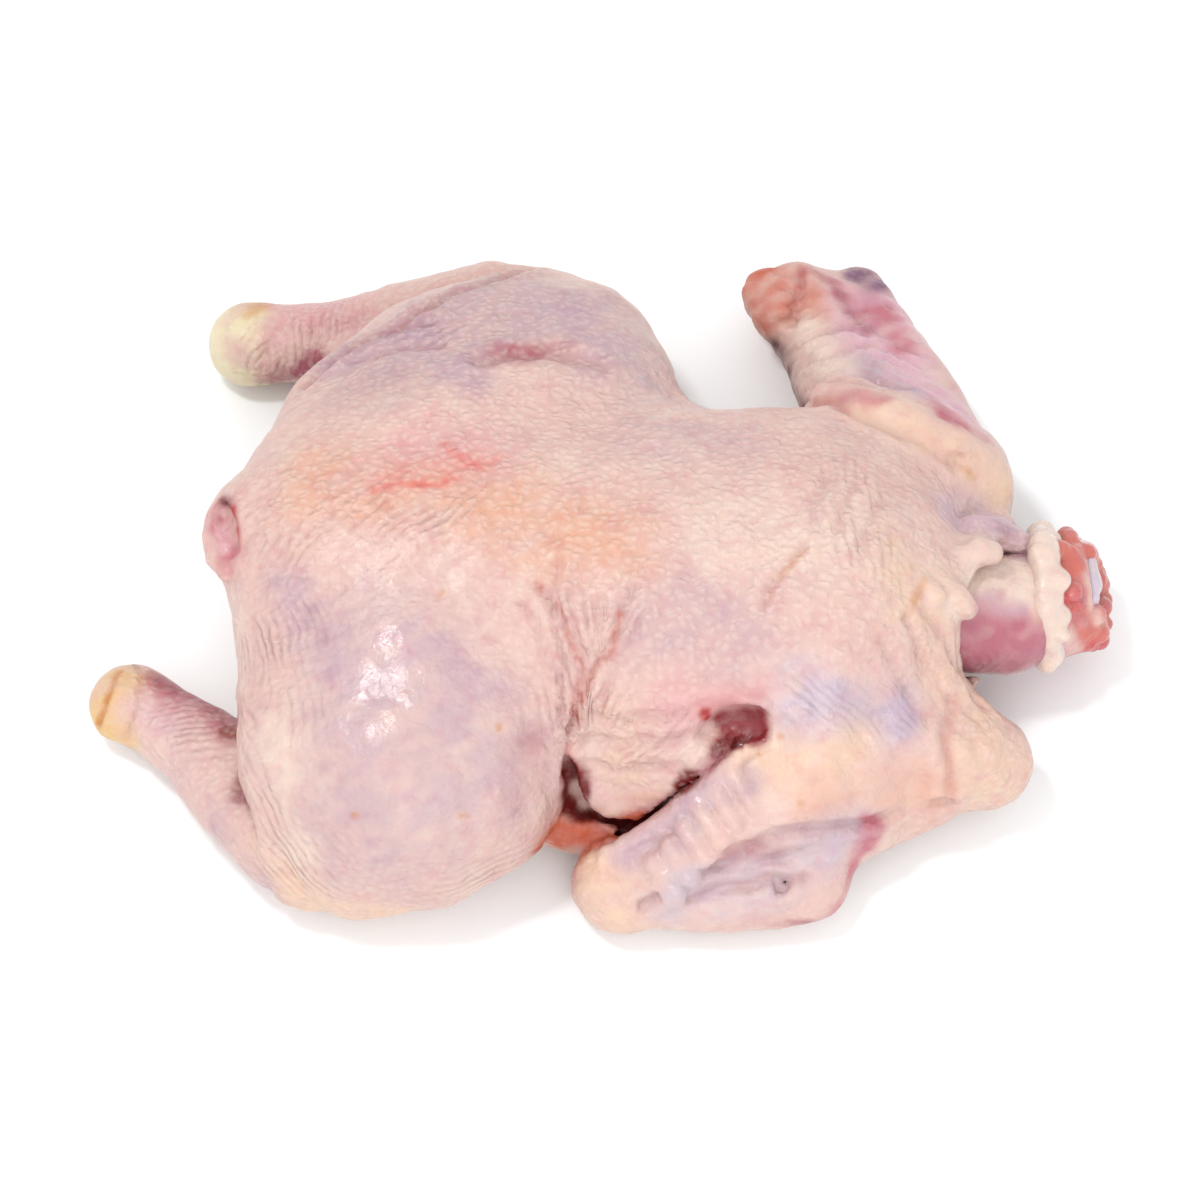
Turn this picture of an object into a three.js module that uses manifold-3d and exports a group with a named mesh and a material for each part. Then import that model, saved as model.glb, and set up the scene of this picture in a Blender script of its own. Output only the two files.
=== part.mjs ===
// A whole raw chicken, plucked, lying on its breast with its back up.
// Units are millimetres. +X runs from the tail to the neck, +Y to the bird's left, +Z up.
// Every piece is a smooth field of rounded lobes and limbs, drawn as a closed mesh on an even grid.
import * as THREE from "three";
import { mergeVertices } from "three/addons/utils/BufferGeometryUtils.js";
import Module from "manifold-3d";

const wasm = await Module();
wasm.setup();

// Driving dimensions
const BODY_STEP = 5.1; // grid of the skinned body
const NECK_STEP = 3.6; // grid of the neck
const SMALL_STEP = 2.6; // grid of the fat and the bone
const PIPE_STEP = 1.8; // grid of the windpipe
const GAP = 0.6; // air between pieces that touch in the real bird
const FOOT_ROUND = 5; // how softly the flesh spreads on the table
const FOOT_SINK = 1.5; // how much of that round is cut off flat at the table
const RELAX_PASSES = 2; // how often each mesh is evened out
const BODY_FLATNESS = 0.6; // how far the body's facets may stray from its fine mesh
const SMALL_FLATNESS = 0.2; // the same for the neck and what is in it
const SLOPE_STEP = 0.3; // how far apart a field is read to find its slope

// Lobes of the trunk, as [centre, half sizes]
const BREAST_RIGHT = [[28, -30, 30], [80, 41, 35]];
const BREAST_LEFT = [[28, 20, 30], [78, 39, 35]];
const RIBCAGE = [[16, -1, 50], [86, 50, 33]];
const PELVIS = [[-52, 8, 52], [58, 46, 30]];
const ABDOMEN = [[-50, 6, 34], [52, 46, 32]];
const SHOULDERS = [[66, -2, 47], [36, 52, 28]];
const TRUNK_BLEND = 18;

// Limbs of the trunk, as chains of balls [x, y, z, radius]
const RUMP = [[-82, -36, 40, 24], [-84, 8, 50, 23], [-76, 54, 42, 22]];
const TAIL = [[-96, 9, 55, 16], [-104, 10, 57, 12.5]];
const NECK_BASE = [[70, -8, 46, 30], [84, -6, 42, 21]];
const LEFT_SHOULDER = [[88, 44, 38, 19], [110, 36, 33, 17]];

// Legs: the thigh is a lobe, the ham joins it to the pelvis, the drumstick runs back from the knee
const RIGHT_THIGH = [[-58, -55, 37], [48, 40, 33]];
const RIGHT_HAM = [[-56, -34, 50, 24], [-32, -46, 42, 24]];
const RIGHT_DRUMSTICK = [
  [-142, -27, 13, 12.5],
  [-132, -33, 13, 11.5],
  [-120, -43, 15, 13.5],
  [-106, -59, 18, 16.5],
  [-90, -74, 18, 18],
  [-60, -76, 20, 17],
];
const RIGHT_THIGH_SKIN = [
  [-79, -60, 30, 23],
  [-85, -82, 16, 14],
  [-72, -80, 21, 20],
  [-52, -77, 23, 21],
  [-34, -70, 26, 18],
];
const LEFT_THIGH = [[-30, 64, 40], [55, 42, 30]];
const LEFT_HAM = [[-48, 40, 50, 28], [-6, 52, 44, 27]];
const LEFT_DRUMSTICK = [
  [-112, 104, 14, 13.5],
  [-100, 104, 14, 12.5],
  [-84, 103, 16, 13.5],
  [-62, 102, 22, 17],
  [-34, 100, 26, 23],
];
const LEFT_KNEE_SKIN = [[-24, 98, 27, 23], [-7, 90, 27, 24]];
const LEG_BLEND = 12;
const SHANK_BLEND = 4; // the drumstick shows as a step below the skin of the thigh

// Wings: each is folded, the upper wing running out and back, the forearm beside it
const RIGHT_UPPER_WING = [[72, -52, 40, 17], [52, -67, 31, 16], [30, -77, 22, 13], [5, -87, 15, 12]];
const RIGHT_SHOULDER_KNOB = [[84, -52, 34, 17], [106, -48, 26, 16], [115, -50, 20, 14]];
const RIGHT_WRIST_SKIN = [[66, -72, 20, 13], [96, -58, 17, 12]];
const RIGHT_FOREARM = [[6, -88, 12, 11], [38, -90, 13, 12], [62, -87, 12, 11]];
const LEFT_UPPER_WING = [[80, 62, 32, 15], [71, 92, 21, 12], [63, 121, 14, 12.5]];
const LEFT_FOREARM = [[109, 50, 26, 15], [98, 89, 17, 12], [84, 126, 12, 8]];
const LEFT_WING_WEB = [[92, 56, 30, 16], [82, 92, 17, 11], [74, 117, 13, 9]];
const LEFT_SKIN_ROLL = [[74, 62, 46, 7], [92, 54, 48, 9], [110, 42, 40, 10]];
const WING_BLEND = 10;

// The membrane that hangs between the right knee and the right elbow, and the pit in the cut tail
const SIDE_FLAP = [[-12, -62, 15, 13], [2, -67, 14, 12], [18, -71, 14, 11]];
const TAIL_PIT = [[-111, 9, 64, 3], [-110, 4, 63, 3.5], [-110, -1, 62, 3]];

// Valleys pressed into the skin, as [line of points [x, y, z, fade], half width, depth]
const VALLEYS = [
  [[[-14, -24, 74, -10], [-8, -38, 62, -2], [-6, -50, 46, 0], [-10, -60, 28, 0]], 8, 4],
  [[[-92, -10, 58, 0], [-84, -22, 60, -3]], 12, 5],
  [[[-38, 64, 64, 0], [-20, 65, 62, 0], [2, 66, 58, -2]], 5, 4],
  [[[-88, 100, 26, 0], [-64, 98, 40, 0], [-43, 105, 44, 0], [-19, 112, 44, -3]], 5, 4],
  [[[-104, -46, 40, 0], [-99, -70, 32, 0], [-93, -90, 14, 0]], 4, 4],
  [[[44, -54, 46, 0], [30, -60, 38, 0], [12, -70, 27, -1]], 7, 4],
  [[[78, -57, 50, 0]], 11, 5],
  [[[90, -66, 44, 0], [92, -72, 24, 0]], 7, 4],
];

// Skin torn round the neck, a row of lumps from the left side over the top to the right side
const NECK_RIM = [
  [121, 19, 38, 6],
  [117, 10, 47, 5],
  [110, 1, 55, 5.5],
  [104, -9, 58, 5],
  [99, -17, 54, 5.5],
  [98, -23, 46, 5],
  [102, -25, 35, 5],
  [110, -23, 26, 5],
];
const RIM_BLEND = 5;
const NECK_MOUTH = [[98, -8, 42, 17], [107, -7, 38, 20.5], [117, -4, 33, 22]];

// Neck of bare meat: it runs back into the body and its cut end leans up
const NECK = [[82, -8, 42, 15], [104, -8, 37, 18], [122, -5, 30, 18.5], [138, 2, 26, 17.5], [152, 5, 25, 16]];
const NECK_CUT = { centre: [146, 5, 28], lean: 24, round: 3 };
const CUT_LUMPS = { centre: [147, 5, 27], lean: 24, radius: 11.5, from: 0, to: 320, count: 9, size: 5 };

// Cream fat in a lumpy band that lies over the neck just behind the cut
const FAT_BAND = { centre: [135, 2, 28], lean: 6, radius: 18, from: 15, to: 185, count: 9, size: 4.6 };

// Neck bone and windpipe: both run back through the meat and show at the cut
const BONE = [[90, -8, 41, 4], [122, -3, 32, 4], [148, 5, 30, 4.5]];
const BONE_KNUCKLES = [[148, -1, 33, 3], [148, 11, 33, 3]];
const WINDPIPE = [[112, -14, 30, 3.2], [142, -8, 24, 3.2], [151, -6, 24, 3.2]];
const WINDPIPE_BORE = [[138, -8.8, 24.4, 1.8], [160, -5, 24, 1.8]];

const SKIN = { color: 0xf0cfc2, roughness: 0.45, metalness: 0 };
const MEAT = { color: 0xd48a90, roughness: 0.35, metalness: 0 };
const FAT = { color: 0xf6e3c8, roughness: 0.4, metalness: 0 };
const BONE_WHITE = { color: 0xe6d9e2, roughness: 0.5, metalness: 0 };
const GRISTLE = { color: 0xe9b7b4, roughness: 0.4, metalness: 0 };

// Fields: below zero inside, above zero outside, about true distance

// The distance to an ellipsoid, good near its surface.
function ellipsoid([centre, half], x, y, z) {
  const px = (x - centre[0]) / half[0];
  const py = (y - centre[1]) / half[1];
  const pz = (z - centre[2]) / half[2];
  const near = Math.hypot(px, py, pz);
  const slope = Math.hypot(px / half[0], py / half[1], pz / half[2]);
  return slope < 1e-9 ? -Math.min(...half) : (near * (near - 1)) / slope;
}

// The smallest value, with a soft fillet of width k where two meet.
function blend(k, ...values) {
  return values.reduce((a, b) => {
    const overlap = Math.max(k - Math.abs(a - b), 0) / k;
    return Math.min(a, b) - (overlap * overlap * k) / 4;
  });
}

// The distance to a chain of balls, each joined to the next by a cone.
function limb(chain, x, y, z) {
  let best = Infinity;
  chain.forEach(([ax, ay, az, ar], i) => {
    const [bx, by, bz, br] = chain[i + 1] ?? chain[i];
    const ux = bx - ax;
    const uy = by - ay;
    const uz = bz - az;
    const along = ((x - ax) * ux + (y - ay) * uy + (z - az) * uz) / (ux * ux + uy * uy + uz * uz || 1);
    const t = Math.min(1, Math.max(0, along));
    const away = Math.hypot(x - ax - t * ux, y - ay - t * uy, z - az - t * uz);
    best = Math.min(best, away - ar - t * (br - ar));
  });
  return best;
}

// A chain of balls round an arc that faces along X and leans back, uneven like torn flesh.
function arcOfBalls({ centre, lean, radius, from, to, count, size }) {
  const tilt = THREE.MathUtils.degToRad(lean);
  return Array.from({ length: count }, (_, i) => {
    const angle = THREE.MathUtils.degToRad(from + ((to - from) * i) / (count - 1));
    const up = radius * Math.sin(angle);
    const swell = 1 + 0.16 * Math.cos(i * 2.4);
    return [
      centre[0] - up * Math.sin(tilt),
      centre[1] + radius * Math.cos(angle),
      centre[2] + up * Math.cos(tilt),
      size * swell,
    ];
  });
}

const CUT_RING = arcOfBalls(CUT_LUMPS);
const FAT_ARC = arcOfBalls(FAT_BAND);

function trunk(x, y, z) {
  const lobes = [BREAST_RIGHT, BREAST_LEFT, RIBCAGE, PELVIS, ABDOMEN, SHOULDERS];
  const body = blend(TRUNK_BLEND, ...lobes.map((lobe) => ellipsoid(lobe, x, y, z)));
  const limbs = [RUMP, NECK_BASE, LEFT_SHOULDER].map((chain) => limb(chain, x, y, z));
  return blend(WING_BLEND, blend(TRUNK_BLEND, body, ...limbs), limb(TAIL, x, y, z));
}

function legs(x, y, z) {
  const right = blend(
    LEG_BLEND,
    ellipsoid(RIGHT_THIGH, x, y, z),
    limb(RIGHT_HAM, x, y, z),
    limb(RIGHT_THIGH_SKIN, x, y, z),
  );
  const left = blend(
    LEG_BLEND,
    ellipsoid(LEFT_THIGH, x, y, z),
    limb(LEFT_HAM, x, y, z),
    limb(LEFT_KNEE_SKIN, x, y, z),
  );
  return Math.min(
    blend(SHANK_BLEND, right, limb(RIGHT_DRUMSTICK, x, y, z)),
    blend(SHANK_BLEND, left, limb(LEFT_DRUMSTICK, x, y, z)),
  );
}

function wings(x, y, z) {
  const right = [RIGHT_UPPER_WING, RIGHT_SHOULDER_KNOB, RIGHT_WRIST_SKIN, RIGHT_FOREARM];
  const left = [LEFT_UPPER_WING, LEFT_FOREARM, LEFT_WING_WEB, LEFT_SKIN_ROLL];
  return Math.min(
    ...[right, left].map((chains) => blend(WING_BLEND, ...chains.map((c) => limb(c, x, y, z)))),
  );
}

// How far the valleys press the skin in at a point.
function valleys(x, y, z) {
  return VALLEYS.reduce((sum, [line, width, depth]) => {
    const away = Math.max(0, limb(line, x, y, z)) / width;
    return sum + depth * Math.exp(-away * away);
  }, 0);
}

// The whole skinned body, spread softly where it lies on the table.
function carcass(x, y, z) {
  const limbed = blend(WING_BLEND, blend(LEG_BLEND, trunk(x, y, z), legs(x, y, z)), wings(x, y, z));
  const skinned = blend(RIM_BLEND, limbed + valleys(x, y, z), limb(NECK_RIM, x, y, z));
  const body = blend(SHANK_BLEND, skinned, limb(SIDE_FLAP, x, y, z));
  return -blend(FOOT_ROUND, -body, limb(TAIL_PIT, x, y, z), z + FOOT_SINK);
}

function neck(x, y, z) {
  const lean = THREE.MathUtils.degToRad(NECK_CUT.lean);
  const [cx, , cz] = NECK_CUT.centre;
  const past = (x - cx) * Math.cos(lean) + (z - cz) * Math.sin(lean);
  const cut = -blend(NECK_CUT.round, -limb(NECK, x, y, z), -past);
  return blend(NECK_CUT.round, cut, limb(CUT_RING, x, y, z));
}

function bone(x, y, z) {
  return blend(NECK_CUT.round, limb(BONE, x, y, z), limb(BONE_KNUCKLES, x, y, z));
}

const limbField = (chain) => (x, y, z) => limb(chain, x, y, z);

// Meshing

const CORNERS = [0, 1, 2, 3, 4, 5, 6, 7].map((n) => [n & 1, (n >> 1) & 1, n >> 2]);
const EDGES = CORNERS.flatMap((_, a) =>
  [1, 2, 4].filter((bit) => !(a & bit)).map((bit) => [a, a | bit]),
);

// Moves a point onto the field's zero surface, along the field's slope.
function ontoSurface(field, point) {
  const value = field(...point);
  const slope = point.map((_, axis) => {
    const ahead = point.map((v, i) => (i === axis ? v + SLOPE_STEP : v));
    return (field(...ahead) - value) / SLOPE_STEP;
  });
  const steep = slope[0] ** 2 + slope[1] ** 2 + slope[2] ** 2;
  return point.map((v, i) => v - (value * slope[i]) / Math.max(steep, 0.1));
}

// Evens out a mesh: each vertex moves to the middle of its neighbours and back onto the surface.
function relax(field, points, quads) {
  const around = points.map(() => new Set());
  quads.forEach((quad) => quad.forEach((v, i) => around[v].add(quad[(i + 1) % 4]).add(quad[(i + 3) % 4])));
  return points.map((point, v) => {
    const near = [...around[v]];
    const middle = point.map((_, axis) => near.reduce((sum, n) => sum + points[n][axis], 0) / near.length);
    return ontoSurface(field, middle);
  });
}

// A closed mesh of a field's zero surface: one vertex in each grid cell that the surface crosses.
function meshOf(field, { low, high, step }) {
  const size = low.map((v, i) => Math.ceil((high[i] - v) / step) + 2);
  const at = (i, j, k) => (k * size[1] + j) * size[0] + i;
  const place = (i, axis) => low[axis] + (i - 0.5) * step;
  const values = new Float32Array(size[0] * size[1] * size[2]);
  for (let k = 0; k < size[2]; k++)
    for (let j = 0; j < size[1]; j++)
      for (let i = 0; i < size[0]; i++)
        values[at(i, j, k)] = field(place(i, 0), place(j, 1), place(k, 2));
  const vertexOf = new Map();
  let points = [];
  for (let k = 0; k + 1 < size[2]; k++)
    for (let j = 0; j + 1 < size[1]; j++)
      for (let i = 0; i + 1 < size[0]; i++) {
        const corner = CORNERS.map(([a, b, c]) => values[at(i + a, j + b, k + c)]);
        const crossed = EDGES.filter(([a, b]) => corner[a] < 0 !== corner[b] < 0);
        if (!crossed.length) continue;
        vertexOf.set(at(i, j, k), points.length);
        const middle = [i, j, k].map((n, axis) => {
          const sum = crossed.reduce((total, [a, b]) => {
            const t = corner[a] / (corner[a] - corner[b]);
            return total + CORNERS[a][axis] + t * (CORNERS[b][axis] - CORNERS[a][axis]);
          }, 0);
          return place(n + sum / crossed.length, axis);
        });
        points.push(middle);
      }
  const quads = [];
  const cells = [[1, 0, 0], [0, 1, 0], [0, 0, 1]];
  for (let k = 1; k + 1 < size[2]; k++)
    for (let j = 1; j + 1 < size[1]; j++)
      for (let i = 1; i + 1 < size[0]; i++)
        cells.forEach((run, axis) => {
          const inside = values[at(i, j, k)] < 0;
          if (inside === values[at(i + run[0], j + run[1], k + run[2])] < 0) return;
          const [u, v] = [cells[(axis + 1) % 3], cells[(axis + 2) % 3]];
          const quad = [[0, 0], [1, 0], [1, 1], [0, 1]].map(([p, q]) =>
            vertexOf.get(at(i - p * u[0] - q * v[0], j - p * u[1] - q * v[1], k - p * u[2] - q * v[2])),
          );
          quads.push(inside ? quad : quad.reverse());
        });
  for (let pass = 0; pass < RELAX_PASSES; pass++) points = relax(field, points, quads);
  return { points, quads };
}

// A solid of a quad mesh, each quad split along its shorter diagonal.
function solidOf({ points, quads }) {
  const apart = (a, b) => Math.hypot(...points[a].map((v, axis) => v - points[b][axis]));
  const faces = quads.flatMap(([a, b, c, d]) =>
    apart(a, c) < apart(b, d) ? [a, b, c, a, c, d] : [b, c, d, b, d, a],
  );
  const mesh = { numProp: 3, vertProperties: Float32Array.from(points.flat()), triVerts: Uint32Array.from(faces) };
  return new wasm.Manifold(new wasm.Mesh(mesh));
}

function geometryOf(solid) {
  const mesh = solid.getMesh();
  return new THREE.BufferGeometry()
    .setAttribute("position", new THREE.BufferAttribute(Float32Array.from(mesh.vertProperties), 3))
    .setIndex(new THREE.BufferAttribute(Uint32Array.from(mesh.triVerts), 1));
}

function piece(name, solid, look) {
  const geometry = mergeVertices(geometryOf(solid));
  geometry.computeVertexNormals();
  const mesh = new THREE.Mesh(geometry, new THREE.MeshStandardMaterial(look));
  mesh.name = name;
  return mesh;
}

// What to mesh: how far the field reaches, the grid's step and how flat its facets are
const BODY_MESH = { low: [-170, -115, -12], high: [145, 145, 100], step: BODY_STEP, flatness: BODY_FLATNESS };
const NECK_MESH = { low: [58, -40, -8], high: [170, 38, 72], step: NECK_STEP, flatness: SMALL_FLATNESS };
const SMALL_MESH = { ...NECK_MESH, step: SMALL_STEP };
const PIPE_MESH = { ...NECK_MESH, step: PIPE_STEP };

const solidIn = (field, mesh) => solidOf(meshOf(field, mesh)).simplify(mesh.flatness);
// The room that a piece needs in its neighbours: the piece grown by the gap.
const roomFor = (field, mesh) => solidIn((x, y, z) => field(x, y, z) - GAP, mesh);

const body = solidIn(carcass, BODY_MESH)
  .trimByPlane([0, 0, 1], 0)
  .subtract(roomFor(neck, NECK_MESH))
  .subtract(solidIn(limbField(NECK_MOUTH), NECK_MESH));
const meat = solidIn(neck, NECK_MESH)
  .subtract(roomFor(bone, SMALL_MESH))
  .subtract(roomFor(limbField(WINDPIPE), PIPE_MESH));
const fat = solidIn(limbField(FAT_ARC), SMALL_MESH).subtract(roomFor(neck, NECK_MESH));
const windpipe = solidIn(limbField(WINDPIPE), PIPE_MESH)
  .subtract(solidIn(limbField(WINDPIPE_BORE), PIPE_MESH));

const bird = new THREE.Group();
bird.add(piece("carcass", body, SKIN));
bird.add(piece("neck", meat, MEAT));
bird.add(piece("neck_fat", fat, FAT));
bird.add(piece("neck_bone", solidIn(bone, SMALL_MESH), BONE_WHITE));
bird.add(piece("windpipe", windpipe, GRISTLE));

// The origin is the middle of the bird's footprint box, at table height
const box = new THREE.Box3().setFromObject(bird);
const middle = box.getCenter(new THREE.Vector3()).setZ(box.min.z);
bird.children.forEach((mesh) => mesh.geometry.translate(-middle.x, -middle.y, -middle.z));

export default bird;
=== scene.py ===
"""The looks of a whole raw chicken that lies on its breast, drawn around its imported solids."""

import functools
import math

import bpy
import numpy as np
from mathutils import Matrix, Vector


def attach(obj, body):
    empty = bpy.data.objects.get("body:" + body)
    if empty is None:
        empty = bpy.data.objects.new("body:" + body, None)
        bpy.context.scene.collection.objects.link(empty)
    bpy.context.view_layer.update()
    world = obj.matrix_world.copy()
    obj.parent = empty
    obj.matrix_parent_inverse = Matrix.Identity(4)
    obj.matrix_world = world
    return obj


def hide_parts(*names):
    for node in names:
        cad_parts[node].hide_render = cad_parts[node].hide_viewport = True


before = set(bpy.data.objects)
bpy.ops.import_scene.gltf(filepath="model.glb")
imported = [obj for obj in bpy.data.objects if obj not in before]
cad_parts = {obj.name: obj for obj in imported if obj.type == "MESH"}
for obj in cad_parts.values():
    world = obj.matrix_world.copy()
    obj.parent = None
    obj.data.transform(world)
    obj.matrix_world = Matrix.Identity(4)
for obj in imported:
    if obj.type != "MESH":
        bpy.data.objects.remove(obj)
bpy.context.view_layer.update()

# Sizes are in millimetres, in the frame the form is drawn in: +X to the neck, +Y to the bird's left
MM = 0.001
FORM_MIDDLE = np.array([0.841, 16.011, 0])  # where the part's own origin lies in the form's frame

# Grids that the pieces are drawn on
SKIN_STEP = 1.5
NECK_STEP = 1.1
SMALL_STEP = 0.7
SKIN_BOX = ((-170, -115, -12), (145, 145, 100))
NECK_BOX = ((58, -40, -8), (170, 38, 72))
BLOCK = 4  # grid steps in a block, which is skipped if the surface doesn't cross it
BLOCK_REACH = 1.5  # how far round a block the surface is looked for, in half diagonals
RELAX_PASSES = 2
SLOPE_STEP = 0.2  # how far apart a field is read to find its slope
LEAST_STEEP = 0.1  # the least square of a slope that a vertex is moved by

# Small numbers that keep a division away from zero
NEAR_ZERO = 1e-5
SHORTEST = 1e-6
TINY = 1e-9

# Widths of the fillets where two forms meet
TRUNK_BLEND = 18
LEG_BLEND = 12
WING_BLEND = 10
RIM_BLEND = 5
FOOT_BLEND = 5
QUILL_BLEND = 3
SHANK_BLEND = 2
LUMP_BLEND = 2
PIT_BLEND = 1
TEAR_BLEND = 0.6
FOOT_SINK = 1.5  # how deep the body sinks into the table before it is cut flat

# Lobes of the trunk, as [centre, half sizes]
BREAST_RIGHT = [[28, -30, 30], [80, 41, 35]]
BREAST_LEFT = [[28, 20, 30], [78, 39, 35]]
RIBCAGE = [[16, -1, 50], [86, 50, 33]]
PELVIS = [[-52, 8, 52], [58, 46, 30]]
ABDOMEN = [[-50, 6, 34], [52, 46, 32]]
SHOULDERS = [[66, -2, 47], [36, 52, 28]]

# Limbs of the trunk, as chains of balls [x, y, z, radius]
RUMP = [[-82, -36, 40, 24], [-84, 8, 50, 23], [-76, 54, 42, 22]]
TAIL = [[-96, 9, 55, 16], [-104, 10, 57, 12.5]]
NECK_BASE = [[70, -8, 46, 30], [84, -6, 42, 21]]
LEFT_SHOULDER = [[88, 44, 38, 19], [110, 36, 33, 17]]

# Legs
RIGHT_THIGH = [[-58, -55, 37], [48, 40, 33]]
RIGHT_HAM = [[-56, -34, 50, 24], [-32, -46, 42, 24]]
RIGHT_DRUMSTICK = [
    [-142, -27, 13, 12.5],
    [-132, -33, 13, 11.5],
    [-120, -43, 15, 13.5],
    [-106, -59, 18, 16.5],
    [-90, -74, 18, 18],
    [-60, -76, 20, 17],
]
RIGHT_THIGH_SKIN = [
    [-79, -60, 30, 23],
    [-85, -82, 16, 14],
    [-72, -80, 21, 20],
    [-52, -77, 23, 21],
    [-34, -70, 26, 18],
]
LEFT_THIGH = [[-30, 64, 40], [55, 42, 30]]
LEFT_HAM = [[-48, 40, 50, 28], [-6, 52, 44, 27]]
LEFT_DRUMSTICK = [
    [-112, 104, 14, 13.5],
    [-100, 104, 14, 12.5],
    [-84, 103, 16, 13.5],
    [-62, 102, 22, 17],
    [-34, 100, 26, 23],
]
LEFT_KNEE_SKIN = [[-24, 98, 27, 23], [-7, 90, 27, 24]]

# Wings
RIGHT_UPPER_WING = [[72, -52, 40, 17], [52, -67, 31, 16], [30, -77, 22, 13], [5, -87, 15, 12]]
RIGHT_SHOULDER_KNOB = [[84, -52, 34, 17], [106, -48, 26, 16], [115, -50, 20, 14]]
RIGHT_WRIST_SKIN = [[66, -72, 20, 13], [96, -58, 17, 12]]
RIGHT_FOREARM = [[6, -88, 12, 11], [38, -90, 13, 12], [62, -87, 12, 11]]
LEFT_UPPER_WING = [[80, 62, 32, 15], [71, 92, 21, 12], [63, 121, 14, 12.5]]
LEFT_FOREARM = [[109, 50, 26, 15], [98, 89, 17, 12], [84, 126, 12, 8]]
LEFT_WING_WEB = [[92, 56, 30, 16], [82, 92, 17, 11], [74, 117, 13, 9]]
LEFT_SKIN_ROLL = [[74, 62, 46, 7], [92, 54, 48, 9], [110, 42, 40, 10]]

# The flap of skin on the right flank, and the pit of the cut tail
SIDE_FLAP = [[-12, -62, 15, 13], [2, -67, 14, 12], [18, -71, 14, 11]]
TAIL_PIT = [[-111.5, 9, 67, 3.4], [-110.5, 3, 67, 4], [-109.5, -3, 65.5, 3.4]]

# Valleys pressed into the skin, as [line of points [x, y, z, distance held back], half width, depth]
VALLEYS = [
    [[[-14, -24, 74, -10], [-8, -38, 62, -2], [-6, -50, 46, 0], [-10, -60, 28, 0]], 8, 4],
    [[[-92, -10, 58, 0], [-84, -22, 60, -3]], 12, 5],
    [[[-38, 64, 64, 0], [-20, 65, 62, 0], [2, 66, 58, -2]], 5, 4],
    [[[-88, 100, 26, 0], [-64, 98, 40, 0], [-43, 105, 44, 0], [-19, 112, 44, -3]], 5, 4],
    [[[-104, -46, 40, 0], [-99, -70, 32, 0], [-93, -90, 14, 0]], 4, 4],
    [[[44, -54, 46, 0], [30, -60, 38, 0], [12, -70, 27, -1]], 7, 4],
    [[[78, -57, 50, 0]], 11, 5],
    [[[90, -66, 44, 0], [92, -72, 24, 0]], 7, 4],
]

# Skin torn round the neck, and the mouth that the neck comes out of
NECK_RIM = [
    [121, 19, 38, 6],
    [117, 10, 47, 5],
    [110, 1, 55, 5.5],
    [104, -9, 58, 5],
    [99, -17, 54, 5.5],
    [98, -23, 46, 5],
    [102, -25, 35, 5],
    [110, -23, 26, 5],
]
NECK_MOUTH = [[98, -8, 42, 17], [107, -7, 38, 20.5], [117, -4, 33, 22]]
NECK = [[82, -8, 42, 15], [104, -8, 37, 18], [122, -5, 30, 18.5], [138, 2, 26, 17.5], [152, 5, 25, 16]]
NECK_CUT = {"centre": (146, 5, 28), "lean": 24, "round": 3}

# Arcs of balls round the neck's cut end, with the degrees at which each arc starts and ends
CUT_RING = {"centre": (147, 5, 27), "lean": 24, "radius": 11.5, "start": 0, "end": 320, "count": 9, "size": 5}
FAT_BAND = {"centre": (135, 2, 28), "lean": 6, "radius": 18, "start": 15, "end": 185, "count": 9, "size": 4.6}
TORN_RINGS = [
    {"centre": (146, 5, 27), "lean": 24, "radius": 15.5, "start": 0, "end": 350, "count": 24, "size": 2.7},
    {"centre": (149.5, 5, 27), "lean": 24, "radius": 12, "start": 0, "end": 345, "count": 18, "size": 2.6},
    {"centre": (150, 5, 27), "lean": 24, "radius": 7.5, "start": 20, "end": 350, "count": 9, "size": 2.8},
]
FAT_LUMPS = [
    {"centre": (133, 2, 28), "lean": 6, "radius": 18.5, "start": 20, "end": 190, "count": 11, "size": 2.8},
    {"centre": (137, 2, 28), "lean": 6, "radius": 18, "start": 10, "end": 150, "count": 10, "size": 2.8},
]
UNEVEN_BALLS = 0.16  # by how much a ball of an arc is larger or smaller
BALL_TURN = 2.4  # radians from one ball's swell to the next
LUMP_SIZES = (0.7, 1.3)  # by what a scattered ball is made smaller or larger
TORN_REACH = 2.0  # how far the balls of torn flesh are scattered
TORN_SEED = 0
FAT_REACH = 3.2
FAT_SEED = 5

# Bone and windpipe
BONE = [[90, -8, 41, 4], [122, -3, 32, 4], [148, 5, 30, 4.5]]
BONE_KNUCKLES = [[148, -1, 33, 3], [148, 11, 33, 3]]
WINDPIPE = [[112, -14, 30, 3.2], [142, -8, 24, 3.2], [151, -6, 24, 3.2]]
WINDPIPE_BORE = [[138, -8.8, 24.4, 1.8], [160, -5, 24, 1.8]]

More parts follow.
